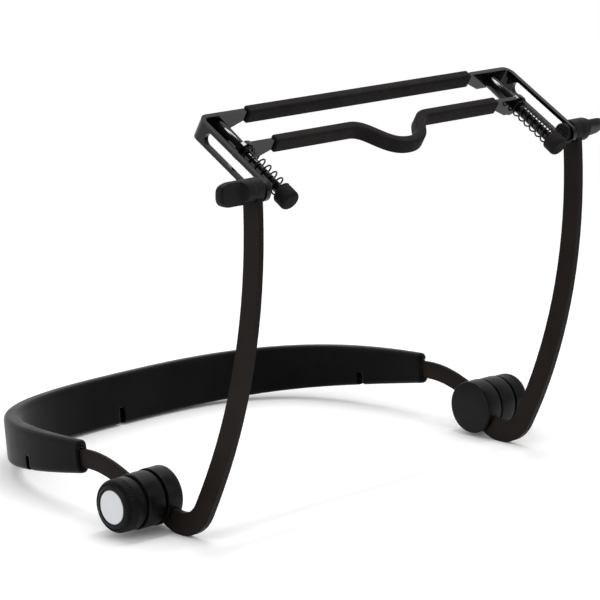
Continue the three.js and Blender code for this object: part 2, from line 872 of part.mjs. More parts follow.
// Wing screws, drawn for the left side about the screw's axis
function washerGeometry() {
  return turnedAcross([
    [screwBore, frameHalf + gap], [washerRadius, frameHalf + gap],
    [washerRadius, armHeadInner - gap], [screwBore, armHeadInner - gap],
    [screwBore, frameHalf + gap],
  ], midFacets);
}

function nutGeometry() {
  const shoulder = slotWidth / 2 - gap;
  const head = nutInner + nutLength;
  return turnedAcross([
    [screwBore, nutInner], [nutRadius - nutEdge, nutInner], [nutRadius, nutInner + nutEdge],
    [nutRadius, head], [shoulder, head], [shoulder, frameHalf], [screwBore, frameHalf],
    [screwBore, nutInner],
  ], midFacets);
}

function screwGeometry() {
  return rodAcross(screwRadius, nutInner, wingInner + screwGrip, smallFacets);
}

// The flat wing of the knob, in (x, z), tapering to a rounded tip
function wingOutline() {
  const root = wingInner + wingBossLength - wingCorner;
  const tip = wingInner + wingLength;
  const rootHalf = wingRootHeight / 2;
  const tipHalf = wingTipHeight / 2;
  const shape = new THREE.Shape();
  shape.moveTo(root, -rootHalf);
  shape.lineTo(tip - wingCorner, -tipHalf);
  shape.absarc(tip - wingCorner, -tipHalf + wingCorner, wingCorner, -Math.PI / 2, 0);
  shape.absarc(tip - wingCorner, tipHalf - wingCorner, wingCorner, 0, Math.PI / 2);
  shape.lineTo(root, rootHalf);
  return shape;
}

function wingKnobGeometry() {
  const grooveStart = wingInner + wingCollarLength;
  const bossStart = grooveStart + wingGroove;
  const bossEnd = wingInner + wingBossLength;
  const boss = turnedAcross([
    [0, wingInner], [wingCollarRadius, wingInner], [wingCollarRadius, grooveStart],
    [wingCollarRadius - wingGroove, grooveStart], [wingCollarRadius - wingGroove, bossStart],
    [wingBossRadius - wingGroove, bossStart], [wingBossRadius, bossStart + wingGroove],
    [wingBossRadius, bossEnd - wingEdge], [wingBossRadius - wingEdge, bossEnd], [0, bossEnd],
  ], midFacets);
  const paddle = prismZ(wingOutline(), -wingThickness / 2, wingThickness / 2, wingEdge);
  paddle.rotateX(Math.PI / 2);
  const hole = rodAcross(screwBore, wingInner - overrun, wingInner + screwGrip + gap, smallFacets);
  return toGeometry(carve(join(boss, paddle), hole));
}

// Assembly
function add(group, name, geometry, material) {
  const mesh = new THREE.Mesh(geometry, material);
  mesh.name = name;
  group.add(mesh);
  return mesh;
}

function addPair(group, name, geometry, material) {
  const left = add(group, `${name}_left`, geometry, material);
  const right = add(group, `${name}_right`, mirrored(geometry), material);
  return [left, right];
}

const holder = new THREE.Group();

const neck = new THREE.Group();
neck.position.set(0, hubSetback, hubHeight);
add(neck, "neck_band", bandGeometry(), satinBlack);
add(neck, "neck_pad", padGeometry(), padRubber);
addPair(neck, "hub_body", bodyGeometry(), blackPlastic);
addPair(neck, "hub_knob", knobGeometry(), blackPlastic);
addPair(neck, "hub_insert", insertGeometry(), brass);
addPair(neck, "hub_badge", badgeGeometry(), badgeWhite);

const arms = new THREE.Group();
arms.position.copy(neck.position);
addPair(arms, "hub_cap", capGeometry(), blackPlastic);
addPair(arms, "hub_bolt", boltGeometry(), steel);
addPair(arms, "hub_spacer", spacerGeometry(), blackPlastic);
addPair(arms, "arm", armGeometry(), satinBlack);

const heads = new THREE.Group();
heads.position.set(0, armHead.x, armHead.y);
arms.add(heads);
addPair(heads, "slot_washer", washerGeometry(), steel);
addPair(heads, "slot_nut", nutGeometry(), enamel);
addPair(heads, "wing_screw", screwGeometry(), steel);
const [wingLeft, wingRight] = addPair(heads, "wing_knob", wingKnobGeometry(), blackPlastic);
wingLeft.rotation.x = THREE.MathUtils.degToRad(wingTurnLeft);
wingRight.rotation.x = THREE.MathUtils.degToRad(wingTurnRight);

const tilt = new THREE.Group();
tilt.rotation.x = THREE.MathUtils.degToRad(clampPitch);
heads.add(tilt);
const clamp = new THREE.Group();
clamp.position.set(0, screwStation, plateDrop);
tilt.add(clamp);
add(clamp, "clamp_frame", frameGeometry(), enamel);
add(clamp, "fixed_sleeve", fixedSleeveGeometry(), rubber);
add(clamp, "moving_bar", movingBarGeometry(), enamel);
add(clamp, "moving_sleeve", movingSleeveGeometry(), rubber);
const onPosts = [
  ["guide_post", postGeometry(), enamel],
  ["rod_cap", rodCapGeometry(), rubber],
  ["clamp_spring", springGeometry(), springSteel],
];
for (const [name, geometry, material] of onPosts) {
  for (const [side, place] of [["left", postHalf], ["right", -postHalf]]) {
    add(clamp, `${name}_${side}`, geometry, material).position.set(place, 0, -postDrop);
  }
}

// The origin is on the table, under the middle of the holder
holder.add(neck, arms);
holder.updateMatrixWorld(true);
const reach = new THREE.Box3().setFromObject(holder, true);
const middle = reach.getCenter(new THREE.Vector3());
for (const group of [neck, arms]) {
  group.position.x -= middle.x;
  group.position.y -= middle.y;
  group.position.z -= reach.min.z;
}

export default holder;
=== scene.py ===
"""Looks for the harmonica holder: smooth pieces, finishes, lamps and camera over the CAD frame.

Sizes are in millimetres until a piece is finished, and every finished piece is in metres.
"""

import json
import logging
import math
from dataclasses import dataclass, field
from enum import Enum
from typing import Iterable, Sequence

import bmesh
import bpy
from mathutils import Matrix, Vector


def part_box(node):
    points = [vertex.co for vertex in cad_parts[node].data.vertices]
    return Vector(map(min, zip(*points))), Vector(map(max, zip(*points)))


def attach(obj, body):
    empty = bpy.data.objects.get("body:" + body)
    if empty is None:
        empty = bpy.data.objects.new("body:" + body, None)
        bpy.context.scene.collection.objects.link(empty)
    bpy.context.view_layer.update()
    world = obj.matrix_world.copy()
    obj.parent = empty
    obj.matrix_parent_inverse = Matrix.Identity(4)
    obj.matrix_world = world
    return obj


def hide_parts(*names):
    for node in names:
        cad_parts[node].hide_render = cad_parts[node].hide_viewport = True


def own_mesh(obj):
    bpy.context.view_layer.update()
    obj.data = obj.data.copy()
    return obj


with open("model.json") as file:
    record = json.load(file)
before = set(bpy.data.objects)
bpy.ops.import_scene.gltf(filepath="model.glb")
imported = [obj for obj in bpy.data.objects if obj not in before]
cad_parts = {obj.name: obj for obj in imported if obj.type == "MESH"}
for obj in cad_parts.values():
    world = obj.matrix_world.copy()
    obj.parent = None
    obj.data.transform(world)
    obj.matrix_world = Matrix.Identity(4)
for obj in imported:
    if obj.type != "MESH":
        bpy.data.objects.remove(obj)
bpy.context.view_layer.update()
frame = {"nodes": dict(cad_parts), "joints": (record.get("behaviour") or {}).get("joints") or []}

log = logging.getLogger("harmonica_holder")

MM = 0.001
TAU = 2 * math.pi
TINY = 1e-6
WELD = 0.002  # how near two points are before they become one
GAP = 0.3  # the play between two pieces that don't touch
CREASE = 40  # the angle in degrees past which an edge stays sharp
ROUNDING_SHARE = 0.49  # the most of an edge that the rounding at one of its ends takes
COURSE_STEP = 0.5  # the step along the neck pad
BAND_RISE = math.radians(22.3)  # the slope of the band where it leaves a hub
SCREW_STATION = 36.0  # how far the wing screws are forward of the rear bar
PLATE_DROP = 1.55  # how far they are below it
FINISH_TAIL = "_finish"
ACROSS = Vector((1, 0, 0))
BACKWARD = Vector((0, 1, 0))
UPWARD = Vector((0, 0, 1))

Piece = bpy.types.Object
Mesh = bmesh.types.BMesh
Node = bpy.types.Node
Socket = bpy.types.NodeSocket
Pair = tuple[float, float]
Triple = tuple[float, float, float]


class Side(Enum):
    """The wearer's side that a piece is on, with its sign along X."""

    LEFT = 1
    RIGHT = -1

    @property
    def word(self) -> str:
        """The side's word, as the CAD nodes' names end."""
        return self.name.lower()

    @property
    def outward(self) -> Vector:
        """The direction away from the middle of the holder."""
        return ACROSS * self.value


class Grain(Enum):
    """The fine relief of a surface, by how many finer octaves its noise has."""

    PAINT = 1.5
    MOULDED = 8.0
    FOAM = 4.0
    BRUSHED = 3.0


# Node trees


class Nodes:
    """A node tree under construction."""

    def __init__(self, tree: bpy.types.NodeTree) -> None:
        """Starts with the tree empty."""
        self.tree = tree
        tree.nodes.clear()

    @classmethod
    def of(cls, owner: bpy.types.Material | bpy.types.World) -> "Nodes":
        """The emptied node tree of a material or a world."""
        owner.use_nodes = True
        return cls(owner.node_tree)

    def node(self, kind: str, links: dict | None = None, **settings: object) -> Node:
        """Adds a node.

        Args:
            kind: Its type.
            links: What each input is linked to or set to, by the input's name or number.
            settings: Its own properties.

        Returns:
            The node.
        """
        node = self.tree.nodes.new(kind)
        for key, value in settings.items():
            setattr(node, key, value)
        for key, value in (links or {}).items():
            if isinstance(value, Node):
                value = value.outputs[0]
            if isinstance(value, Socket):
                self.tree.links.new(value, node.inputs[key])
            else:
                node.inputs[key].default_value = value
        return node

    def math(self, operation: str, a: object, b: object = 0.0) -> Socket:
        """The result of a sum of one or two values."""
        return self.node("ShaderNodeMath", {0: a, 1: b}, operation=operation).outputs[0]

    def ranged(
        self, value: Socket, source: tuple = (0.0, 1.0), target: tuple = (0.0, 1.0),
        kind: str = "LINEAR",
    ) -> Socket:
        """Takes a value from one range to another.

        Args:
            value: The value.
            source: The range it is in.
            target: The range it goes to.
            kind: How it goes there.

        Returns:
            The new value.
        """
        names = ("From Min", "From Max", "To Min", "To Max")
        links = {"Value": value, **dict(zip(names, (*source, *target)))}
        return self.node("ShaderNodeMapRange", links, interpolation_type=kind).outputs[0]

    def noise(self, place: Socket, size: float, detail: float) -> Socket:
        """A noise with lumps of a size in millimetres and so many finer octaves."""
        links = {"Vector": place, "Scale": 1 / (size * MM), "Detail": detail}
        return self.node("ShaderNodeTexNoise", links).outputs["Fac"]


class Tree(Nodes):
    """A Geometry Nodes tree under construction, with named inputs."""

    def __init__(self, name: str) -> None:
        """Starts a tree with one geometry in and one out.

        Args:
            name: The tree's name.
        """
        super().__init__(bpy.data.node_groups.new(name, "GeometryNodeTree"))
        for way in ("INPUT", "OUTPUT"):
            self._socket("Geometry", "Geometry", way)
        self.source = self.node("NodeGroupInput")
        self.sink = self.node("NodeGroupOutput")

    def _socket(self, name: str, kind: str, way: str) -> bpy.types.NodeTreeInterfaceSocket:
        """Adds an input or output of the tree."""
        kind = f"NodeSocket{kind}"
        return self.tree.interface.new_socket(name=name, in_out=way, socket_type=kind)

    def value(self, name: str, default: float) -> Socket:
        """Adds a named input for a number.

        Args:
            name: Its name.
            default: Its default, a whole number where all its values are.

        Returns:
            The socket that gives its value.
        """
        kind = "Int" if isinstance(default, int) else "Float"
        self._socket(name, kind, "INPUT").default_value = default
        return self.source.outputs[name]

    def swept(self, course: object, section: object) -> Node:
        """Sweeps a section along a course and fills the ends."""
        links = {"Curve": course, "Profile Curve": section, "Fill Caps": True}
        return self.node("GeometryNodeCurveToMesh", links)

    def end(self, geometry: Node) -> "Tree":
        """Makes instances real and ends the tree.

        Args:
            geometry: The node whose geometry the tree gives.

        Returns:
            The tree.
        """
        real = self.node("GeometryNodeRealizeInstances", {0: geometry})
        self.tree.links.new(real.outputs[0], self.sink.inputs[0])
        return self

    def grown(
        self, name: str, course: Sequence[Vector], finish: "Finish", place: Matrix,
        crease: float = CREASE, **values: float,
    ) -> Piece:
        """Runs the tree on a chain of points and keeps the mesh that it makes.

        Args:
            name: The new piece's name.
            course: The chain of points that the tree reads.
            finish: The piece's finish.
            place: Takes the result to its place, in millimetres.
            crease: The angle in degrees past which an edge stays sharp.
            values: The tree's inputs, by name with _ for a space.

        Returns:
            The piece.
        """
        mesh = bpy.data.meshes.new(name)
        pairs = [(i, i + 1) for i in range(len(course) - 1)]
        mesh.from_pydata([tuple(point) for point in course], pairs, [])
        piece = shown(bpy.data.objects.new(name, mesh))
        modifier = piece.modifiers.new(self.tree.name, "NODES")
        modifier.node_group = self.tree
        for item in self.tree.interface.items_tree:
            key = item.name.lower().replace(" ", "_")
            if item.in_out == "INPUT" and key in values:
                modifier[item.identifier] = values[key]
        bpy.context.view_layer.update()
        settled(piece, crease)
        piece.data.transform(Matrix.Scale(MM, 4) @ place)
        piece.data.materials.clear()
        piece.data.materials.append(finish.material())
        bm = bmesh.new()
        bm.from_mesh(piece.data)
        weld(bm, WELD * MM)
        bm.to_mesh(piece.data)
        bm.free()
        return piece


def coil_tree() -> Tree:
    """Wire wound along Z, with its two end turns laid closer.

    Returns:
        The tree, with inputs for turns, radius, length and wire radius.
    """
    tree = Tree("wound_wire")
    turns = tree.value("Turns", 6.5)
    radius = tree.value("Radius", 3.0)
    length = tree.value("Length", 19.0)
    wire = tree.value("Wire Radius", 0.3)
    close = tree.value("Close Share", 0.05)
    line = tree.node("GeometryNodeCurvePrimitiveLine")
    chain = tree.node("GeometryNodeResampleCurve", {"Curve": line, "Count": 240})
    share = tree.node("GeometryNodeSplineParameter").outputs["Factor"]
    angle = tree.math("MULTIPLY", tree.math("MULTIPLY", share, turns), TAU)
    x, y = (
        tree.math("MULTIPLY", tree.math(way, angle), radius) for way in ("COSINE", "SINE")
    )
    pitched = (close, tree.math("SUBTRACT", 1.0, close))
    rise = tree.ranged(share, pitched, (wire, tree.math("SUBTRACT", length, wire)))
    place = tree.node("ShaderNodeCombineXYZ", {0: x, 1: y, 2: rise})
    wound = tree.node("GeometryNodeSetPosition", {"Geometry": chain, "Position": place})
    section = tree.node("GeometryNodeCurvePrimitiveCircle", {"Resolution": 12, "Radius": wire})
    return tree.end(tree.swept(wound, section))


def rib_tree() -> Tree:
    """Ribs round Z: each follows the course it is given, swept with a round section.

    Returns:
        The tree, with inputs for count and rib radius.
    """
    tree = Tree("ribs_round_an_axis")
    count = tree.value("Count", 72)
    radius = tree.value("Rib Radius", 0.4)
    course = tree.node("GeometryNodeMeshToCurve", {0: tree.source})
    section = tree.node("GeometryNodeCurvePrimitiveCircle", {"Resolution": 6, "Radius": radius})
    line = tree.node("GeometryNodeMeshLine", {"Count": count, "Offset": (0, 0, 0)})
    share = tree.math("DIVIDE", tree.node("GeometryNodeInputIndex"), count)
    spin = tree.node("ShaderNodeCombineXYZ", {2: tree.math("MULTIPLY", share, TAU)})
    turn = tree.node("FunctionNodeEulerToRotation", {0: spin})
    links = {"Points": line, "Instance": tree.swept(course, section), "Rotation": turn}
    return tree.end(tree.node("GeometryNodeInstanceOnPoints", links))


def strip_tree() -> Tree:
    """A flat strip with eased edges, swept along a course with its width upward.

    Returns:
        The tree, with inputs for thickness, width and edge.
    """
    tree = Tree("strip_along_a_course")
    size = {"Width": tree.value("Thickness", 1.8), "Height": tree.value("Width", 6.9)}
    edge = tree.value("Edge", 0.4)
    course = tree.node("GeometryNodeMeshToCurve", {0: tree.source})
    level = tree.node("GeometryNodeSetCurveNormal", {"Curve": course}, mode="Z_UP")
    section = tree.node("GeometryNodeCurvePrimitiveQuadrilateral", size)
    links = {"Curve": section, "Radius": edge, "Count": 4}
    soft = tree.node("GeometryNodeFilletCurve", links, mode="POLY")
    return tree.end(tree.swept(level, soft))


# Finishes


@dataclass(frozen=True)
class Finish:
    """A surface finish: its colours are linear, its grain and mottle sizes are in millimetres."""

    name: str
    colour: Triple
    second: Triple
    roughness: float
    spread: float
    grain: Grain
    grain_size: float
    grain_depth: float
    mottle: float
    specular: float
    metallic: float = 0.0
    sheen: float = 0.0
    sheen_roughness: float = 0.45
    stops: Pair = (0.32, 0.72)
    smear_size: float = 0.4
    smear_range: Pair = (0.3, 0.7)
    brushing: Triple = (1.0, 0.12, 0.12)

    def material(self) -> bpy.types.Material:
        """Builds the node material of this finish once.

        Returns:
            The material, the same one each time.
        """
        label = self.name + FINISH_TAIL
        if label in bpy.data.materials:
            return bpy.data.materials[label]
        material = bpy.data.materials.new(label)
        nodes = Nodes.of(material)
        place = nodes.node("ShaderNodeTexCoord").outputs["Object"]
        ramp = nodes.node("ShaderNodeValToRGB", {0: nodes.noise(place, self.mottle, 5.0)})
        looks = zip(ramp.color_ramp.elements, self.stops, (self.colour, self.second))
        for stop, position, colour in looks:
            stop.position = position
            stop.color = (*colour, 1)
        smear = nodes.noise(place, self.mottle * self.smear_size, 3.0)
        smooth_to_rough = (self.roughness - self.spread, self.roughness + self.spread)
        shader = nodes.node("ShaderNodeBsdfPrincipled", {
            "Base Color": ramp,
            "Roughness": nodes.ranged(smear, self.smear_range, smooth_to_rough),
            "Normal": self._relief(nodes, place),
            "Metallic": self.metallic,
            "Specular IOR Level": self.specular,
            "Sheen Weight": self.sheen,
            "Sheen Roughness": self.sheen_roughness,
        })
        nodes.node("ShaderNodeOutputMaterial", {"Surface": shader})
        return material

    def _relief(self, nodes: Nodes, place: Socket) -> Node:
        """Adds the relief of the finish's grain.

        Args:
            nodes: The material's nodes.
            place: The coordinates it reads.

        Returns:
            The node that bends the normal.
        """
        foam = self.grain is Grain.FOAM
        if self.grain is Grain.BRUSHED:
            stretch = {"Vector": place, "Scale": self.brushing}
            place = nodes.node("ShaderNodeMapping", stretch).outputs["Vector"]
        size = self.grain_size * 0.5 if foam else self.grain_size
        height = nodes.noise(place, size, self.grain.value)
        if foam:
            lumps = {"Vector": place, "Scale": 1 / (self.grain_size * MM)}
            cells = nodes.node("ShaderNodeTexVoronoi", lumps, feature="SMOOTH_F1")
            height = nodes.math("ADD", cells.outputs["Distance"], height)
        links = {"Height": height, "Distance": self.grain_depth * MM}
        return nodes.node("ShaderNodeBump", links)


SATIN_ENAMEL = Finish(
    "satin_enamel", (0.0135, 0.0103, 0.0086), (0.0180, 0.0142, 0.0120),
    0.48, 0.05, Grain.PAINT, 0.55, 0.012, 14, 0.07,
)
GLOSS_ENAMEL = Finish(
    "gloss_enamel", (0.0030, 0.0026, 0.0026), (0.0045, 0.0040, 0.0040),
    0.10, 0.02, Grain.PAINT, 1.1, 0.0006, 12, 0.3,
)
SLEEVE_RUBBER = Finish(
    "sleeve_rubber", (0.0185, 0.0168, 0.0162), (0.0250, 0.0228, 0.0220),
    0.66, 0.06, Grain.MOULDED, 0.35, 0.016, 6, 0.05, sheen=0.02,
)
PAD_RUBBER = Finish(
    "pad_rubber", (0.0030, 0.0026, 0.0027), (0.0070, 0.0061, 0.0062),
    0.38, 0.07, Grain.FOAM, 0.45, 0.014, 16, 0.02, sheen=0.25,
)
# Painted shade: a near-black finish for the band inside the pad and the notch walls, standing in
# for the shade there.
PAINTED_PAD_SHADE = Finish(
    "pad_core", (0.0008, 0.0007, 0.0007), (0.0016, 0.0014, 0.0014),
    0.80, 0.05, Grain.FOAM, 0.8, 0.05, 4, 0.02,
)
HUB_PLASTIC = Finish(
    "hub_plastic", (0.0044, 0.0038, 0.0040), (0.0076, 0.0067, 0.0070),
    0.38, 0.08, Grain.MOULDED, 0.3, 0.010, 5, 0.13,
)
WING_PLASTIC = Finish(
    "wing_plastic", (0.0088, 0.0082, 0.0080), (0.0125, 0.0117, 0.0114),
    0.50, 0.06, Grain.MOULDED, 0.3, 0.012, 5, 0.13, sheen=0.02,
)
BADGE_WHITE = Finish(
    "badge_white", (0.90, 0.925, 0.96), (0.93, 0.95, 0.98),
    0.38, 0.04, Grain.PAINT, 0.6, 0.004, 5, 0.45,
)
SPRING_STEEL = Finish(
    "spring_steel", (0.012, 0.011, 0.011), (0.022, 0.020, 0.020),
    0.42, 0.06, Grain.BRUSHED, 0.2, 0.006, 3, 0.2, metallic=0.3,
)
PLAIN_STEEL = Finish(
    "plain_steel", (0.42, 0.42, 0.42), (0.55, 0.55, 0.54),
    0.30, 0.07, Grain.BRUSHED, 0.25, 0.006, 4, 0.5, metallic=1.0,
)
INSERT_BRASS = Finish(
    "insert_brass", (0.48, 0.32, 0.10), (0.60, 0.42, 0.15),
    0.32, 0.07, Grain.BRUSHED, 0.25, 0.006, 4, 0.5, metallic=1.0,
)


# Shapes


@dataclass(frozen=True)
class Axis:
    """A line that pieces are turned about, with two directions square to it."""

    origin: Vector
    along: Vector
    across: Vector
    over: Vector

    def at(self, station: float, out: float = 0.0, angle: float = 0.0) -> Vector:
        """A place by its station along the line, its distance from it and its turn about it."""
        turn = self.across * math.cos(angle) + self.over * math.sin(angle)
        return self.origin + self.along * station + turn * out

    def matrix(self) -> Matrix:
        """Takes a mesh drawn along Z, with X across, to this line, still in millimetres."""
        columns = Matrix((self.across, self.over, self.along)).transposed()
        return Matrix.Translation(self.origin) @ columns.to_4x4()


def rounded(corners: Sequence[Triple], steps: int = 5) -> list[Pair]:
    """Rounds the corners of an open profile.

    Args:
        corners: Radius, station and rounding of each corner.
        steps: How many edges each rounding has.

    Returns:
        The profile's points.
    """
    points = [Vector(corner[:2]) for corner in corners]
    result = [tuple(points[0])]
    for before, here, after, corner in zip(points, points[1:], points[2:], corners[1:]):
        back, ahead = before - here, after - here
        shorter = min(back.length, ahead.length)
        if corner[2] <= 0 or shorter < TINY:
            result.append(tuple(here))
            continue
        half = back.angle(ahead) / 2
        cut_back = min(corner[2] / math.tan(half), ROUNDING_SHARE * shorter)
        middle = (back.normalized() + ahead.normalized()).normalized()
        centre = here + middle * (cut_back / math.cos(half))
        first = here + back.normalized() * cut_back - centre
        last = here + ahead.normalized() * cut_back - centre
        sweep = first.angle_signed(last)
        for step in range(steps + 1):
            turn = Matrix.Rotation(-sweep * step / steps, 2)
            result.append(tuple(centre + turn @ first))
    result.append(tuple(points[-1]))
    return result


def ringed(bore: float, low: float, high: float, outer: Sequence[Triple]) -> list[Triple]:
    """The closed profile of a ring: its bore's two corners, with the outer ones between them."""
    return [(bore, low, 0), *outer, (bore, high, 0), (bore, low, 0)]


def skin(bm: Mesh, first: list, second: list) -> None:
    """Joins two rings of equally many points, or a ring and a pole.

    Args:
        bm: The mesh.
        first: The first ring's vertices.
        second: The second ring's vertices.
    """
    if len(first) == 1 and len(second) == 1:
        return
    count = max(len(first), len(second))
    for i in range(count):
        j = (i + 1) % count
        if len(first) == 1:
            bm.faces.new((first[0], second[j], second[i]))
        elif len(second) == 1:
            bm.faces.new((first[i], first[j], second[0]))
        else:
            bm.faces.new((first[i], first[j], second[j], second[i]))


def turned(axis: Axis, profile: Sequence[Pair], sides: int = 96) -> Mesh:
    """Turns a profile about an axis.

    Args:
        axis: The axis.
        profile: Radius and station of each point, from pole to pole or round a closed ring.
        sides: How many edges the turned circles have.

    Returns:
        The mesh.
    """
    bm = bmesh.new()
    rings = []
    for radius, station in profile:
        angles = [0.0] if radius < TINY else [TAU * k / sides for k in range(sides)]
        rings.append([bm.verts.new(axis.at(station, radius, angle)) for angle in angles])
    for first, second in zip(rings, rings[1:]):
        skin(bm, first, second)
    return bm


def lofted(rings: Sequence[Sequence[Vector]], closed: bool = False) -> Mesh:
    """Skins a row of rings.

    Args:
        rings: The rings' points.
        closed: Whether the last ring joins the first, with no ends to fill.

    Returns:
        The mesh.
    """
    bm = bmesh.new()
    rows = [[bm.verts.new(point) for point in ring] for ring in rings]
    for first, second in zip(rows, rows[1:]):
        skin(bm, first, second)
    if closed:
        skin(bm, rows[-1], rows[0])
    else:
        bm.faces.new(rows[0])
        bm.faces.new(rows[-1])
    return bm


def flat_ring(width: float, height: float, edge: float, steps: int = 5) -> list[Pair]:
    """A rounded rectangle about the origin.

    Args:
        width: Its width.
        height: Its height.
        edge: The radius of its corners.
        steps: How many edges each corner has.

    Returns:
        Its points, anticlockwise.
    """
    points = []
    for quarter, (sx, sy) in enumerate(((1, 1), (-1, 1), (-1, -1), (1, -1))):
        for step in range(steps + 1):
            angle = math.pi / 2 * (quarter + step / steps)
            points.append((
                sx * (width / 2 - edge) + edge * math.cos(angle),
                sy * (height / 2 - edge) + edge * math.sin(angle),
            ))
    return points


def oval_ring(half_width: float, half_height: float, square: float, count: int = 64) -> list[Pair]:
    """An oval that goes from an ellipse to a rounded rectangle.

    Args:
        half_width: Half its width.
        half_height: Half its height.
        square: 2 for an ellipse, more for a squarer oval.
        count: How many points it has.

    Returns:
        Its points, anticlockwise.
    """
    points = []
    for k in range(count):
        c, s = math.cos(TAU * k / count), math.sin(TAU * k / count)
        points.append((
            half_width * math.copysign(abs(c) ** (2 / square), c),
            half_height * math.copysign(abs(s) ** (2 / square), s),
        ))
    return points


def spaced(places: Sequence[Vector], step: float) -> list[Vector]:
    """Places at equal steps along a chain.

    Args:
        places: The chain.
        step: The wanted step.

    Returns:
        The new chain, with the same two ends.
    """
    lengths = [0.0]
    for a, b in zip(places, places[1:]):
        lengths.append(lengths[-1] + (b - a).length)
    count = max(2, round(lengths[-1] / step))
    result, at = [], 0
    for i in range(count + 1):
        wanted = lengths[-1] * i / count
        while at + 2 < len(places) and lengths[at + 1] < wanted:
            at += 1
        share = (wanted - lengths[at]) / (lengths[at + 1] - lengths[at])
        result.append(places[at].lerp(places[at + 1], share))
    return result


def headings(places: Sequence[Vector]) -> list[Vector]:
    """The direction of travel at each place of a chain."""
    pairs = zip([places[0], *places], [*places[1:], places[-1]])
    return [(after - before).normalized() for before, after in pairs]


def bezier(a: Vector, b: Vector, c: Vector, d: Vector, count: int = 40) -> list[Vector]:
    """Points along a cubic curve.

    Args:
        a: Its start.
        b: Its first handle.
        c: Its second handle.
        d: Its end.
        count: How many steps it is cut into.

    Returns:
        The points, one more than the steps.
    """
    points = []
    for i in range(count + 1):
        t = i / count
        u = 1 - t
        points.append(a * u**3 + b * (3 * u * u * t) + c * (3 * u * t * t) + d * t**3)
    return points


def soft_share(value: float) -> float:
    """A share kept between 0 and 1, with a soft start and end."""
    share = min(1.0, max(0.0, value))
    return share * share * (3 - 2 * share)


def drawn_in(edge: float, reach: float) -> float:
    """How far a section draws in at a distance from an end with a rounded edge."""
    left = max(0.0, edge - reach)
    return edge - math.sqrt(edge**2 - left**2)


def fallen(share: float) -> float:
    """How far a quarter circle has fallen at a share of its way."""
    return 1 - math.sqrt(max(0.0, 1 - max(0.0, share) ** 2))


# Pieces


def shown(piece: Piece) -> Piece:
    """Links an object to the scene."""
    bpy.context.scene.collection.objects.link(piece)
    return piece


def shade(mesh: bpy.types.Mesh, crease: float) -> None:
    """Shades a mesh smooth but for edges sharper than the crease, in degrees."""
    mesh.shade_smooth()
    mesh.set_sharp_from_angle(angle=math.radians(crease))


def kept(name: str, bm: Mesh, material: bpy.types.Material) -> Piece:
    """Turns a mesh, which is used up, into an object of one material.

    Args:
        name: The object's name.
        bm: The mesh.
        material: The material.

    Returns:
        The object.
    """
    mesh = bpy.data.meshes.new(name)
    bm.to_mesh(mesh)
    bm.free()
    mesh.materials.append(material)
    return shown(bpy.data.objects.new(name, mesh))


def weld(bm: Mesh, reach: float) -> None:
    """Merges a mesh's points that are nearer than a reach and turns its faces outward."""
    bmesh.ops.remove_doubles(bm, verts=bm.verts, dist=reach)
    bmesh.ops.recalc_face_normals(bm, faces=bm.faces)


def made(name: str, bm: Mesh, finish: Finish, crease: float = CREASE) -> Piece:
    """Turns a mesh in millimetres into a piece in metres.

    Args:
        name: The piece's name.
        bm: Its mesh, which is used up.
        finish: Its finish.
        crease: The angle in degrees past which an edge stays sharp.

    Returns:
        The piece.
    """
    weld(bm, WELD)
    bmesh.ops.scale(bm, vec=(MM, MM, MM), verts=bm.verts)
    piece = kept(name, bm, finish.material())
    shade(piece.data, crease)
    return piece


def block(
    centre: Vector, axes: Sequence[Vector], sizes: Sequence[float], finish: Finish
) -> Piece:
    """A box to cut with.

    Args:
        centre: Its middle.
        axes: Its three directions.
        sizes: Its three lengths.
        finish: The finish of the piece that it cuts.

    Returns:
        The box.
    """
    bm = bmesh.new()
    bmesh.ops.create_cube(bm, size=1.0)
    turn = Matrix([axis * size for axis, size in zip(axes, sizes)]).transposed().to_4x4()
    bmesh.ops.transform(bm, matrix=Matrix.Translation(centre) @ turn, verts=bm.verts)
    return made("cutter", bm, finish)


def settled(piece: Piece, crease: float = CREASE) -> Piece:
    """Turns a piece's modifiers into its own mesh.

    Args:
        piece: The piece.
        crease: The angle in degrees past which an edge stays sharp.

    Returns:
        The same piece.
    """
    graph = bpy.context.evaluated_depsgraph_get()
    mesh = bpy.data.meshes.new_from_object(piece.evaluated_get(graph), depsgraph=graph)
    piece.modifiers.clear()
    old, piece.data = piece.data, mesh
    mesh.name = piece.name
    bpy.data.meshes.remove(old)
    shade(mesh, crease)
    return piece


def eased(piece: Piece, edge: float, segments: int = 3, least: float = 32) -> Piece:
    """Rounds a piece's sharp edges and keeps its flat faces evenly shaded.

    Args:
        piece: The piece.
        edge: The width of the rounding in millimetres.
        segments: How many faces it has across.
        least: The angle in degrees from which an edge is rounded.

    Returns:
        The same piece.
    """
    bevel = piece.modifiers.new("eased", "BEVEL")
    bevel.width = edge * MM
    bevel.segments = segments
    bevel.limit_method = "ANGLE"
    bevel.angle_limit = math.radians(least)
    settled(piece, least)
    piece.modifiers.new("level", "WEIGHTED_NORMAL").keep_sharp = True
    return settled(piece, least)


def cut(piece: Piece, cutters: Sequence[Piece]) -> Piece:
    """Cuts a piece with others, which are used up.

    Args:
        piece: The piece.
        cutters: The closed shapes to take away.

    Returns:
        The same piece.
    """
    for cutter in cutters:
        boolean = piece.modifiers.new("cut", "BOOLEAN")
        boolean.operation = "DIFFERENCE"
        boolean.solver = "EXACT"
        boolean.object = cutter
    settled(piece)
    for cutter in cutters:
        mesh = cutter.data
        bpy.data.objects.remove(cutter)
        bpy.data.meshes.remove(mesh)
    return piece


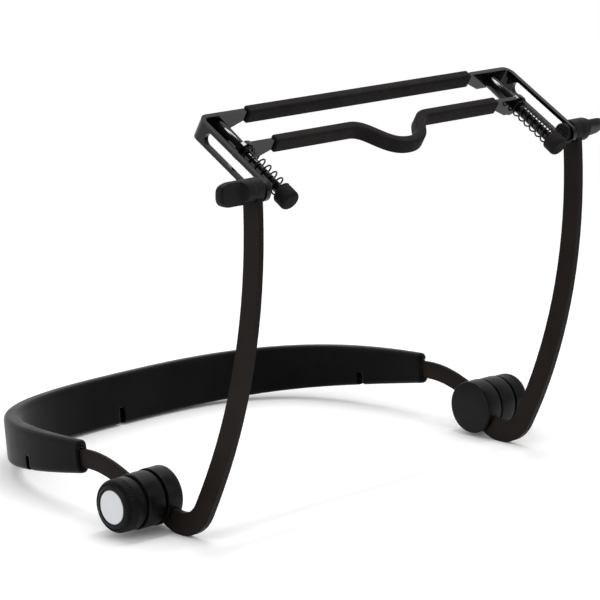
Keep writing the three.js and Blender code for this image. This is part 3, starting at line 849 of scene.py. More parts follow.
def traced(node: str, name: str, finish: Finish) -> Piece:
    """A merged copy of a CAD node's mesh, with its flat faces whole again.

    Args:
        node: The CAD node.
        name: The new piece's name.
        finish: The new piece's finish.

    Returns:
        The piece.
    """
    bm = bmesh.new()
    bm.from_mesh(frame["nodes"][node].data)
    bmesh.ops.remove_doubles(bm, verts=bm.verts, dist=WELD * MM)
    flat = math.radians(0.8)
    bmesh.ops.dissolve_limit(bm, angle_limit=flat, verts=bm.verts, edges=bm.edges)
    return kept(name, bm, finish.material())


# Sub-assemblies


@dataclass(frozen=True)
class Datum:
    """Places read from the CAD frame, in millimetres."""

    hub: Vector
    screw: Vector
    travel: Vector
    plate_up: Vector

    @classmethod
    def read(cls) -> "Datum":
        """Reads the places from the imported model.

        Returns:
            The places.
        """
        joint = next(j for j in frame["joints"] if j["name"] == "clamp_reach")
        travel = Vector(joint["axis"]).normalized()
        hub, screw = cls._middle("hub_cap_left"), cls._middle("wing_screw_left")
        return cls(hub, screw, travel, travel.cross(ACROSS).normalized())

    @staticmethod
    def _middle(node: str) -> Vector:
        """The middle of a node's box, with its X left out.

        Args:
            node: The CAD node.

        Returns:
            The middle, in millimetres.
        """
        low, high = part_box(node)
        middle = (low + high) / 2 / MM
        middle.x = 0
        return middle

    def in_clamp(self, across: float, forward: float, up: float) -> Vector:
        """A place in the clamp by its distances from the middle of the rear bar.

        Args:
            across: Along X.
            forward: Along the clamp's travel.
            up: Square to both.

        Returns:
            The place.
        """
        bar = self.screw - self.travel * SCREW_STATION + self.plate_up * PLATE_DROP
        return bar + ACROSS * across + self.travel * forward + self.plate_up * up


@dataclass
class SubAssembly:
    """A group of pieces that is built and dressed together."""

    datum: Datum
    pieces: list[Piece] = field(default_factory=list, init=False)

    def place(self, piece: Piece, body: str, *nodes: str) -> None:
        """Sets a piece on its body, names its slot and lets it stand for CAD nodes.

        Args:
            piece: The piece.
            body: The CAD body it rides on.
            nodes: The CAD nodes that it stands for.
        """
        slot = piece.data.materials[0].name.removesuffix(FINISH_TAIL)
        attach(piece, body)
        if nodes:
            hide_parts(*nodes)
        self.pieces.append(piece)
        faces = len(piece.data.polygons)
        log.info("%s rides on %s, %d faces, %s", piece.name, body, faces, slot)

    def dress(self, node: str, finish: Finish) -> None:
        """Gives a CAD node that stays in view its finish.

        Args:
            node: The node.
            finish: Its finish.
        """
        for slot in frame["nodes"][node].material_slots:
            slot.material = finish.material()
        log.info("%s keeps its CAD shape, %s", node, finish.name)

    def build(self) -> None:
        """Builds and dresses the pieces."""
        raise NotImplementedError


@dataclass(kw_only=True)
class PairedAssembly(SubAssembly):
    """A sub-assembly that each side of the holder has one of."""

    side: Side

    def sided(self, stem: str) -> str:
        """A name that ends with the side's word."""
        return f"{stem}_{self.side.word}"

    def axis(self, middle: Vector) -> Axis:
        """The axis through a hub or a wing screw, outward from the middle of the holder."""
        return Axis(middle, self.side.outward, BACKWARD, UPWARD)

    def turn(
        self, stem: str, axis: Axis, corners: Sequence[Triple], finish: Finish,
        steps: int = 5, sides: int = 96,
    ) -> Piece:
        """Turns a profile with rounded corners.

        Args:
            stem: The piece's name without the side's word.
            axis: The axis.
            corners: Radius, station and rounding of each corner.
            finish: The piece's finish.
            steps: How many edges each rounding has.
            sides: How many edges the turned circles have.

        Returns:
            The piece.
        """
        return made(self.sided(stem), turned(axis, rounded(corners, steps), sides), finish)


@dataclass(kw_only=True)
class NeckBand(SubAssembly):
    """The steel band from hub to hub, through the pad, and the course of the pad on it."""

    strip: Tree
    thickness: float = 1.8
    width: float = 6.9
    edge: float = 0.4
    middle: float = 90.45
    eye_radius: float = 6.5
    bolt_bore: float = 2.8
    start_reach: float = 10.4
    handle: float = 9.0
    drop: float = 0.5
    bare_reach: float = 4.0
    hub_height: float = 11.66
    pad_setback: float = 34.3
    pad_height: float = 8.54
    pad_depth: float = 82.3
    pad_width: float = 20.2
    pad_thickness: float = 4.8
    pad_square: float = 2.85
    samples: int = 640

    @property
    def fall(self) -> float:
        """The slope at which the middle of the pad comes down onto the table.

        Returns:
            The slope in radians.
        """
        along, down = self.pad_depth + self.pad_thickness / 2, self.pad_width / 2
        height = self.hub_height + self.pad_height
        return math.asin(height / math.hypot(along, down)) - math.atan2(down, along)

    @property
    def along(self) -> Vector:
        """The direction down the slope, away from the hubs."""
        return Vector((0, math.cos(self.fall), -math.sin(self.fall)))

    @property
    def above(self) -> Vector:
        """The direction square to the plane that the rear of the band lies in."""
        return Vector((0, math.sin(self.fall), math.cos(self.fall)))

    def course(self) -> list[Vector]:
        """The band's middle line about the hub axis, from the left eye to the right one.

        Returns:
            The line's points.
        """
        out = Vector((0, math.cos(BAND_RISE), math.sin(BAND_RISE)))
        eye, drop = ACROSS * self.middle, self.above * self.drop
        start = eye + out * self.start_reach
        end = Vector((self.middle, self.pad_setback, self.pad_height)) - drop
        side = bezier(start, start + out * self.handle, end - self.along * self.handle, end)
        rear = [point - drop for point in self.pad_course()]
        left = [eye, *side]
        right = [Vector((-x, y, z)) for x, y, z in reversed(left)]
        return left + rear[1:-1] + right

    def pad_course(self) -> list[Vector]:
        """The pad's middle line about the hub axis, from its left end round the nape.

        Returns:
            The line's points.
        """
        dense = []
        for i in range(self.samples + 1):
            angle = math.pi * i / self.samples
            c, s = math.cos(angle), abs(math.sin(angle))
            across = math.copysign(abs(c) ** (2 / self.pad_square), c)
            corner = Vector((self.middle * across, self.pad_setback, self.pad_height))
            dense.append(corner + self.along * (self.pad_depth * s ** (2 / self.pad_square)))
        return spaced(dense, COURSE_STEP)

    def build(self) -> None:
        """Sweeps the strip, adds its two eyes and sets it on the neck body."""
        flat = Matrix.Rotation(self.fall, 3, "X")
        place = Matrix.Translation(self.datum.hub) @ Matrix.Rotation(-self.fall, 4, "X")
        band = self.strip.grown(
            "band_strip", [flat @ point for point in self.course()], SATIN_ENAMEL, place,
            thickness=self.thickness, width=self.width, edge=self.edge,
        )
        # Painted shade: faces of the band deep inside the pad take the near-black finish, so it
        # looks shaded where the notches show it.
        band.data.materials.append(PAINTED_PAD_SHADE.material())
        mouth = self.datum.hub + Vector((0, self.pad_setback, self.pad_height))
        for face in band.data.polygons:
            if (face.center / MM - mouth).dot(self.along) > self.bare_reach:
                face.material_index = 1
        self.place(band, "neck", "neck_band")
        inner, outer = (self.middle + sign * self.thickness / 2 for sign in (-1, 1))
        corners = ringed(self.bolt_bore, inner, outer, [
            (self.eye_radius, inner, self.edge), (self.eye_radius, outer, self.edge),
        ])
        for side in Side:
            eye = PairedAssembly(self.datum, side=side)
            axis = eye.axis(self.datum.hub)
            self.place(eye.turn("band_eye", axis, corners, SATIN_ENAMEL), "neck")


@dataclass(kw_only=True)
class NeckPad(SubAssembly):
    """The moulded foam-rubber pad: a thicker nape between two thinner ends, notched below."""

    band: NeckBand
    end_thickness: float = 4.6
    nape_thickness: float = 6.3
    thicken_over: float = 40.0
    end_width: float = 12.2
    fade: float = 2.5
    edge: float = 1.9
    least_flat: float = 0.05
    end_edge: float = 1.5
    lip: float = 2.5
    mouth: float = 1.2
    pocket: float = 9.0
    notch: Pair = (2.0, 5.6)
    nape_notch: Pair = (2.4, 6.6)
    notch_reach: float = 33.2
    nape_notch_shift: float = 4.5
    notch_spare: float = 1.0
    # Painted shade: how far the darker finish reaches round a notch, its margin, and how squarely
    # a face must look along the pad.
    bare_reach: float = 14.0
    bare_margin: float = 0.12
    bare_facing: float = 0.35
    end_length: float = 1.2
    step: float = 0.15
    step_length: float = 0.6
    voxel: float = 0.42

    def thickness_at(self, reach: float) -> float:
        """The pad's thickness at a distance from its nearer end.

        Args:
            reach: The distance along the course.

        Returns:
            The thickness, which grows toward the nape and steps a little past the notch.
        """
        ease = soft_share(reach / self.thicken_over)
        past = min(1.0, max(0.0, (reach - self.notch_reach) / self.step_length + 0.5))
        grown = self.end_thickness + (self.nape_thickness - self.end_thickness - self.step) * ease
        return grown + self.step * past

    def width_at(self, share: float) -> float:
        """The pad's width at a share of its course."""
        nape = self.band.pad_width
        return nape + (self.end_width - nape) * abs(2 * share - 1) ** self.fade

    def build(self) -> None:
        """Lofts the pad, cuts its mouths and notches, and softens the whole like moulded foam."""
        band, along, above = self.band, self.band.along, self.band.above
        chain = band.pad_course()
        chain = [chain[0] - along * self.end_length, *chain, chain[-1] - along * self.end_length]
        places = [self.datum.hub + point for point in spaced(chain, COURSE_STEP)]
        ways = headings(places)
        count = len(places) - 1
        rings = []
        for i, (place, way) in enumerate(zip(places, ways)):
            reach = min(i, count - i) * COURSE_STEP
            inset = drawn_in(self.end_edge, reach)
            outward = way.cross(above).normalized()
            full = self.thickness_at(reach)
            thickness = full - 2 * inset
            edge = min(self.edge, thickness / 2 - self.least_flat)
            ring = flat_ring(thickness, self.width_at(i / count) - 2 * inset, edge)
            middle = place - outward * ((full - self.end_thickness) / 2)
            rings.append([middle + outward * a + above * b for a, b in ring])
        pad = made("pad_moulding", lofted(rings), PAD_RUBBER)
        cutters, notches, spare = [], [], self.notch_spare
        mouth = (self.end_thickness, 2 * self.mouth, self.end_width - 2 * self.lip)
        pocket = (band.thickness + 2 * GAP, 2 * self.pocket, band.width + 2 * GAP)
        for end, side in ((places[0], Side.LEFT), (places[-1], Side.RIGHT)):
            opening = end + side.outward * (self.end_thickness / 2)
            for centre, size in ((opening, mouth), (end - above * band.drop, pocket)):
                cutters.append(block(centre, (ACROSS, along, above), size, PAD_RUBBER))
        low = round(self.notch_reach / COURSE_STEP)
        nape = count // 2 + round(self.nape_notch_shift / COURSE_STEP)
        for at in (low, nape, count - low):
            width, height = self.nape_notch if at == nape else self.notch
            half = self.width_at(at / count) / 2
            notches.append((places[at] - above * half, ways[at], above, width, height))
            axes = (ways[at].cross(above).normalized(), ways[at], above)
            centre = places[at] - above * (half - height / 2 + spare)
            size = (self.nape_thickness + 6 * spare, width, height + 2 * spare)
            cutters.append(block(centre, axes, size, PAD_RUBBER))
        cut(pad, cutters)
        self._soften(pad)
        # Painted shade on the walls of the notches.
        self._bare(pad, notches)
        self.place(pad, "neck", "neck_pad")

    def _bare(self, pad: Piece, notches: Sequence[tuple]) -> None:
        """Paints shade on the walls of the notches with a darker finish.

        Args:
            pad: The pad.
            notches: Each notch's foot, ways along and upward, width and height.
        """
        margin = self.bare_margin
        pad.data.materials.append(PAINTED_PAD_SHADE.material())
        for face in pad.data.polygons:
            for foot, way, above, width, height in notches:
                off = face.center / MM - foot
                if off.length > self.bare_reach or abs(face.normal.dot(way)) <= self.bare_facing:
                    continue
                if abs(off.dot(way)) < width / 2 + margin and off.dot(above) < height + margin:
                    face.material_index = 1

    def _soften(self, pad: Piece) -> None:
        """Remeshes the pad finely and smooths it.

        Args:
            pad: The pad.
        """
        remesh = pad.modifiers.new("remesh", "REMESH")
        remesh.mode = "VOXEL"
        remesh.voxel_size = self.voxel * MM
        smooth = pad.modifiers.new("smooth", "SMOOTH")
        smooth.factor = 0.5
        smooth.iterations = 4
        settled(pad, crease=70)
        pad.data.materials.clear()
        pad.data.materials.append(PAD_RUBBER.material())


@dataclass(kw_only=True)
class LockingHub(PairedAssembly):
    """One hub: its moulded body, cupped cap, spacer, knurled knob and badge."""

    ribs: Tree
    radius: float = 10.1
    cap: Pair = (81.3, 83.45)
    cup: Pair = (10.4, 10.05)
    cup_end: float = 88.4
    spacer: Pair = (86.55, 89.25)
    spacer_neck: float = 9.2
    spacer_play: float = 0.1
    body: Pair = (89.55, 98.2)
    body_neck: Pair = (9.0, 97.15)
    mouth: Pair = (14.0, 7.5)
    band_eye: float = 6.8
    band_seat: float = 2.1
    bolt_bore: float = 2.8
    bolt_head: Pair = (4.8, 1.5)
    knob: Pair = (98.5, 106.4)
    knob_bore: Pair = (4.5, 6.0)
    knob_radius: float = 9.7
    knob_waist: float = 9.32
    knob_crown: float = 7.1
    crown_drop: float = 1.3
    collar: Triple = (3.3, 3.4, 3.6)
    knurl: Pair = (102.0, 105.75)
    rib_count: int = 72
    rib_radius: float = 0.42
    rib_sink: float = 0.04
    rib_lead: float = 0.2
    badge_radius: float = 6.1
    badge_depth: float = 0.8
    badge_play: float = 0.25
    badge_edge: float = 0.15
    badge_dome: Pair = (3.0, 0.03)

    def build(self) -> None:
        """Turns the hub's pieces and sets them on their bodies."""
        axis = self.axis(self.datum.hub)
        knob = self.sided("knob")
        for piece, body, *nodes in (
            (self._body(axis), "neck", "hub_body"),
            (self._cap(axis), "arms", "hub_cap"),
            (self._spacer(axis), "arms", "hub_spacer"),
            (self._knob(axis), knob, "hub_knob"),
            (self._knurl(axis), knob),
            (self._badge(axis), knob, "hub_badge"),
        ):
            self.place(piece, body, *map(self.sided, nodes))
        self.dress(self.sided("hub_insert"), INSERT_BRASS)
        self.dress(self.sided("hub_bolt"), PLAIN_STEEL)

    def _body(self, axis: Axis) -> Piece:
        """The body, with its seat and mouth for the band.

        Args:
            axis: The hub's axis.

        Returns:
            The piece.
        """
        inner, outer = self.body
        neck, shoulder = self.body_neck
        seat = inner + self.band_seat
        body = self.turn("hub_moulding", axis, ringed(self.bolt_bore, seat, outer, [
            (self.band_eye, seat, 0), (self.band_eye, inner, 0.15), (self.radius, inner, 0.35),
            (self.radius, shoulder, 0.45), (neck, shoulder, 0), (neck, outer, 0),
        ]), HUB_PLASTIC)
        out = Vector((0, math.cos(BAND_RISE), math.sin(BAND_RISE)))
        over = Vector((0, -math.sin(BAND_RISE), math.cos(BAND_RISE)))
        centre = axis.at(inner) + out * (self.mouth[0] / 2)
        size = (2 * self.band_seat, *self.mouth)
        return cut(body, [block(centre, (ACROSS, out, over), size, HUB_PLASTIC)])

    def _cap(self, axis: Axis) -> Piece:
        """The cap on the inner side: a cup round the arm's eye, with a pocket for the bolt's head.

        Args:
            axis: The hub's axis.

        Returns:
            The piece.
        """
        (inner, outer), (wide, bore), (head, depth) = self.cap, self.cup, self.bolt_head
        cup = self.turn("hub_cover", axis, [
            (0, inner, 0), (wide, inner, 0.8), (wide, self.cup_end, 0.2), (bore, self.cup_end, 0),
            (bore, outer, 0), (head, outer, 0), (head, outer - depth, 0), (0, outer - depth, 0),
        ], HUB_PLASTIC)
        return cut(cup, [traced(self.sided("arm"), "arm_slot", HUB_PLASTIC)])

    def _spacer(self, axis: Axis) -> Piece:
        """The plain ring between the arm and the body, with a neck past the cup.

        Args:
            axis: The hub's axis.

        Returns:
            The piece.
        """
        (inner, outer), neck = self.spacer, self.spacer_neck
        wide, shoulder = self.cup[1] - self.spacer_play, self.cup_end - GAP
        return self.turn("hub_ring", axis, ringed(self.bolt_bore, inner, outer, [
            (wide, inner, 0.2), (wide, shoulder, 0.2), (neck, shoulder, 0), (neck, outer, 0.1),
        ]), HUB_PLASTIC)

    def _crown(self) -> list[Pair]:
        """The knob's outer profile.

        Returns:
            Its points, from the collar to the rim of the badge pocket.
        """
        (inner, outer), waist = self.knob, self.knob_waist
        return rounded([
            (self.knob_radius, inner + self.collar[1], 0.1), (waist, inner + self.collar[2], 0.1),
            (waist, outer - self.crown_drop, 2.2), (self.knob_crown, outer, 0.9),
            (self.badge_radius + self.badge_play, outer, 0.1),
        ], 8)

    def _knob(self, axis: Axis) -> Piece:
        """The knob: a smooth collar, a waist for the ribs and a rounded crown.

        Args:
            axis: The hub's axis.

        Returns:
            The piece.
        """
        (inner, outer), (bore, depth) = self.knob, self.knob_bore
        start = rounded([
            (0, inner + depth, 0), (bore, inner + depth, 0), (bore, inner, 0.2),
            (self.knob_radius, inner, 0.4), (self.knob_radius, inner + self.collar[0], 0),
        ])
        pocket, floor = self.badge_radius + self.badge_play, outer - self.badge_depth
        end = [(pocket, outer - 0.1), (pocket, floor), (0, floor)]
        profile = start[:-1] + self._crown()[:-1] + end
        return made(self.sided("lock_knob"), turned(axis, profile, 128), HUB_PLASTIC)

    def _knurl(self, axis: Axis) -> Piece:
        """The ribs round the knob, which follow its crown.

        Args:
            axis: The hub's axis.

        Returns:
            The piece.
        """
        low, high = self.knurl
        course = [
            Vector((radius - self.rib_sink, 0, station))
            for radius, station in self._crown()
            if low - self.rib_lead <= station <= high
        ]
        course[0] = Vector((self.knob_waist - self.rib_sink, 0, low))
        return self.ribs.grown(
            self.sided("lock_knurl"), course, HUB_PLASTIC, axis.matrix(),
            crease=60, count=self.rib_count, rib_radius=self.rib_radius,
        )

    def _badge(self, axis: Axis) -> Piece:
        """The plain pale disc, faintly domed.

        Args:
            axis: The hub's axis.

        Returns:
            The piece.
        """
        outer, rim, (dome, sink) = self.knob[1], self.badge_radius, self.badge_dome
        back = outer - (self.badge_depth - GAP)
        return self.turn("lock_disc", axis, [
            (0, back, 0), (rim, back, 0.1), (rim, outer - self.badge_edge, 0.12),
            (dome, outer - sink, 6), (0, outer, 0),
        ], BADGE_WHITE)


@dataclass
class BowedArm(PairedAssembly):
    """One arm, stamped from strip, with its edges eased and enamelled."""

    edge: float = 0.45

    def build(self) -> None:
        """Traces the arm and eases its edges."""
        node = self.sided("arm")
        arm = traced(node, self.sided("bowed_arm"), SATIN_ENAMEL)
        self.place(eased(arm, self.edge), "arms", node)


@dataclass
class ClampChannel(SubAssembly):
    """The slotted channel with its rear sleeve."""

    edge: float = 0.6
    sleeve_half: float = 57.2
    sleeve: Triple = (3.9, 5.6, 0.9)
    loose: Triple = (2.4, 4.4, 0.2)
    tight: Triple = (1.86, 3.86, 0.2)
    tight_rings: int = 2
    sleeve_end: float = 0.5
    end_steps: int = 4
    step: float = 1.0

    def build(self) -> None:
        """Traces the channel, eases its edges and draws the sleeve over its bar."""
        channel = eased(traced("clamp_frame", "slotted_channel", GLOSS_ENAMEL), self.edge, 5)
        self.place(channel, "frame", "clamp_frame")
        course = spaced([ACROSS * -self.sleeve_half, ACROSS * self.sleeve_half], self.step)
        sleeve = made("rear_sleeve", self.sleeve_over(course), SLEEVE_RUBBER)
        self.place(sleeve, "frame", "fixed_sleeve")

    def _ring(self, place: Vector, way: Vector, section: Sequence[Pair]) -> list[Vector]:
        """Sets a section square to a bar.

        Args:
            place: The bar's place, as (across, forward) in the clamp.
            way: The bar's heading, in the same way.
            section: The section's points.

        Returns:
            The section's places.
        """
        side = Vector((-way.y, way.x, 0))
        return [
            self.datum.in_clamp(place.x + side.x * a, place.y + side.y * a, b)
            for a, b in section
        ]

    def sleeve_over(self, course: Sequence[Vector]) -> Mesh:
        """A rubber tube over a bar, with rounded ends.

        Args:
            course: The bar's middle line, as (across, forward) in the clamp.

        Returns:
            The mesh.
        """
        ways, last = headings(course), len(course) - 1
        soft, steps = self.sleeve_end, self.end_steps
        ends = [soft * (1 - math.cos(math.pi / 2 * k / steps)) for k in range(steps + 1)]
        stations = [(0, reach, drawn_in(soft, reach)) for reach in ends]
        stations += [(i, 0.0, 0.0) for i in range(1, last)]
        stations += [(last, -reach, drawn_in(soft, reach)) for reach in reversed(ends)]
        width, height, edge = self.sleeve
        rings = []
        for i, shift, inset in stations:
            section = flat_ring(width - 2 * inset, height - 2 * inset, edge - inset / 2)
            rings.append(self._ring(course[i] + ways[i] * shift, ways[i], section))
        for i in range(last, -1, -1):
            bore = self.tight if min(i, last - i) < self.tight_rings else self.loose
            rings.append(self._ring(course[i], ways[i], flat_ring(*bore)))
        return lofted(rings, closed=True)


@dataclass(kw_only=True)
class SprungBar(SubAssembly):
    """The moving bar with its dip, and the sleeve on it."""

    channel: ClampChannel
    edge: float = 0.4
    station: float = 16.2
    half: float = 57.2
    dip_half: float = 20.0
    dip_depth: float = 12.3
    entry: float = 9.5
    floor_handle: float = 12.0
    step: float = 0.7
    sag: float = 0.6
    lug_place: Pair = (70.4, -1.9)
    lug_bore: float = 1.8
    lug_play: float = 0.5
    lug_trim: float = 0.4
    trim_from: float = -3.4
    trim_over: float = 4.0

    def course(self) -> list[Vector]:
        """The sleeve's middle line, as (across, forward) in the clamp.

        Returns:
            The line's points.
        """
        level, floor = self.station, self.station + self.dip_depth
        down = bezier(*(Vector((across, forward, 0)) for across, forward in (
            (-self.dip_half, level), (-self.dip_half + self.entry, level),
            (-self.floor_handle, floor), (0, floor),
        )))
        up = [Vector((-p.x, p.y, 0)) for p in reversed(down[:-1])]
        first, last = (Vector((across, level, 0)) for across in (-self.half, self.half))
        return spaced([first, *down, *up, last], self.step)

    def _trim(self, bar: Piece) -> None:
        """Opens the lugs' bores for the rods, and draws in the lugs' lower outer part.

        Args:
            bar: The traced bar.
        """
        middle, centre = self.lug_place
        origin, upward = self.datum.in_clamp(0, 0, 0), self.datum.plate_up
        for vertex in bar.data.vertices:
            place = vertex.co / MM - origin
            across, below = abs(place.x) - middle, place.dot(upward) - centre
            reach = math.hypot(across, below)
            if reach < self.lug_bore:
                out = ACROSS * math.copysign(across, place.x * across) + upward * below
                vertex.co += out * (self.lug_play / reach) * MM
            elif below < 0:
                share = soft_share((across - self.trim_from) / self.trim_over)
                vertex.co += upward * (-below * self.lug_trim * share) * MM

    def build(self) -> None:
        """Traces the bar, eases its edges and draws the sleeve over it."""
        bar = traced("moving_bar", "sprung_bar", GLOSS_ENAMEL)
        self._trim(bar)
        eased(bar, self.edge)
        sleeve = made("front_sleeve", self.channel.sleeve_over(self.course()), SLEEVE_RUBBER)
        for piece, node in ((bar, "moving_bar"), (sleeve, "moving_sleeve")):
            piece.data.transform(Matrix.Translation(-self.datum.plate_up * self.sag * MM))
            self.place(piece, "jaw", node)


@dataclass(kw_only=True)
class GuidePost(PairedAssembly):
    """One guide post with its rubber cap and its spring."""

    coil: Tree
    half: float = 70.4
    drop: float = 1.9
    radius: float = 2.6
    rod_radius: float = 1.78
    droop: float = 1.6
    rivet_radius: float = 2.4
    rivet_head: float = 1.0
    shoulders: Pair = (1.2, 15.0)
    rod_end: float = 39.5
    cap: Pair = (36.8, 42.4)
    cap_radius: float = 3.75
    cap_bore: Pair = (1.9, 3.0)
    spring: Pair = (17.4, 36.5)
    spring_radius: float = 3.0
    spring_play: float = 0.0
    wire: float = 0.62
    turns: float = 6.5
    stretch: float = 0.0
    jaw_travel: float = 12.0

    def build(self) -> None:
        """Turns the post and its cap and winds the spring."""
        origin = self.datum.in_clamp(self.side.value * self.half, 0, -self.drop)
        travel, upward = self.datum.travel, self.datum.plate_up
        c, s = math.cos(math.radians(self.droop)), math.sin(math.radians(self.droop))
        axis = Axis(origin, travel * c - upward * s, ACROSS, upward * c + travel * s)
        (start, end), rod = self.shoulders, self.rod_radius
        tail, tip = -start - self.rivet_head, self.rod_end + self.stretch
        post = self.turn("post", axis, [
            (0, tail, 0), (self.rivet_radius, tail, 0.6), (self.rivet_radius, -start, 0.1),
            (rod, -start, 0), (rod, start, 0), (self.radius, start, 0.25),
            (self.radius, end, 0.35), (rod, end, 0), (rod, tip, 0.2), (0, tip, 0),
        ], GLOSS_ENAMEL, sides=64)
        self.place(post, "frame", self.sided("guide_post"))
        low, high = (end + self.stretch for end in self.cap)
        bore, deep = self.cap_bore
        cap = self.turn("post_cap", axis, [
            (0, low + deep, 0), (bore, low + deep, 0), (bore, low, 0.15),
            (self.cap_radius, low, 0.8), (self.cap_radius, high, 1.3), (0, high, 0),
        ], SLEEVE_RUBBER, steps=8, sides=80)
        self.place(cap, "frame", self.sided("rod_cap"))
        self._wind(axis)

    def _wind(self, axis: Axis) -> None:
        """Winds the spring between the bar and the cap.

        Args:
            axis: The post's axis.
        """
        low, high = self.spring[0], self.spring[1] + self.stretch
        inward = -self.side.outward * self.spring_play
        base = Axis(axis.at(low) + inward, axis.along, axis.across, axis.over)
        spring = self.coil.grown(
            self.sided("post_spring"), [Vector(), UPWARD], SPRING_STEEL, base.matrix(),
            crease=60, turns=self.turns, radius=self.spring_radius, length=high - low,
            wire_radius=self.wire / 2,
        )
        self.place(spring, "frame", self.sided("clamp_spring"))
        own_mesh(spring)


@dataclass
class WingScrew(PairedAssembly):
    """One wing knob with its screw, washer and nut."""

    swing: float = 0.0
    start: float = 84.55
    collar: Pair = (4.3, 1.0)
    lip: float = 0.04
    groove: float = 0.1
    boss_radius: float = 4.3
    boss_edge: float = 0.3
    shroud: Pair = (80.6, 84.45)
    shroud_bore: float = 3.8
    boss_end: float = 3.9
    blade_start: float = 5.6
    blade_square: float = 1.6
    length: float = 14.4
    half_height: float = 4.3
    half_thickness: float = 1.9
    tip_length: float = 5.2
    tip_drop: float = 2.7
    tip_edge: float = 1.2
    least: Pair = (0.4, 0.3)
    screw_bore: float = 1.55
    grip: float = 5.3
    steps: int = 48

    def build(self) -> None:
        """Moulds the knob and the ring round the arm's head, and dresses the metal pieces."""
        knob = made(self.sided("wing_moulding"), self._moulding(), WING_PLASTIC, 50)
        self.place(knob, self.sided("wing"), self.sided("wing_knob"))
        (low, high), wide = self.shroud, self.boss_radius
        corners = ringed(self.shroud_bore, low, high, [(wide, low, 0.4), (wide, high, 0)])
        shroud = self.turn("head_shroud", self.axis(self.datum.screw), corners, WING_PLASTIC)
        self.place(cut(shroud, [traced(self.sided("arm"), "head_slot", WING_PLASTIC)]), "arms")
        for stem in ("wing_screw", "slot_washer", "slot_nut"):
            self.dress(self.sided(stem), SPRING_STEEL)

    def _moulding(self) -> Mesh:
        """The boss and the blade that grows out of it, in one skin.

        Returns:
            The mesh.
        """
        axis = self.axis(self.datum.screw)
        c, s = math.cos(math.radians(self.swing)), math.sin(math.radians(self.swing))
        tall, flat = Vector((0, -s, c)), Vector((0, c, s))
        (collar, seam), boss = self.collar, self.boss_radius
        first, waist = seam + self.groove + self.boss_edge, collar - 2 * self.lip
        rings = [(station, radius, radius, 2) for station, radius in (
            (0.0, self.screw_bore), (0.0, collar - self.lip), (self.lip, collar),
            (seam, collar), (seam + self.groove / 2, waist), (seam + self.groove, waist),
            (first, boss),
        )]
        for k in range(1, self.steps + 1):
            station = first + (self.length - first) * k / self.steps
            ease = soft_share((station - self.boss_end) / (self.blade_start - self.boss_end))
            high = boss + (self.half_height - boss) * ease
            thick = boss + (self.half_thickness - boss) * ease
            left = self.length - station
            tip = self.tip_drop * fallen((self.tip_length - left) / self.tip_length)
            thin = self.tip_edge * fallen((self.tip_edge - left) / self.tip_edge)
            size = (max(high - tip - thin, self.least[0]), max(thick - thin, self.least[1]))
            rings.append((station, *size, 2 + self.blade_square * ease))
        rows = []
        for station, high, thick, square in rings:
            foot = axis.at(self.start + station)
            rows.append([foot + tall * a + flat * b for a, b in oval_ring(high, thick, square)])
        bore = [point + axis.along * self.grip for point in rows[0]]
        return lofted([bore, *rows])


# Studio


@dataclass(frozen=True)
class SoftBox:
    """One area lamp. Its place, its size and the place it is aimed at are in metres."""

    name: str
    place: Triple
    size: Pair
    watts: float
    aim: Triple = (0.0, 0.0, 0.06)
    along: Triple = (0.0, 0.0, 1.0)

    def light(self) -> None:
        """Hangs the lamp."""
        lamp = bpy.data.lights.new(self.name, "AREA")
        lamp.shape = "RECTANGLE"
        lamp.size, lamp.size_y = self.size
        lamp.energy = self.watts
        box = shown(bpy.data.objects.new(self.name, lamp))
        box.location = self.place
        back = (Vector(self.place) - Vector(self.aim)).normalized()
        long_way = (Vector(self.along) - back * back.dot(Vector(self.along))).normalized()
        turn = Matrix((long_way.cross(back), long_way, back)).transposed()
        box.rotation_euler = turn.to_euler()
        box.visible_camera = False
        log.info("lamp %s at %s", self.name, self.place)


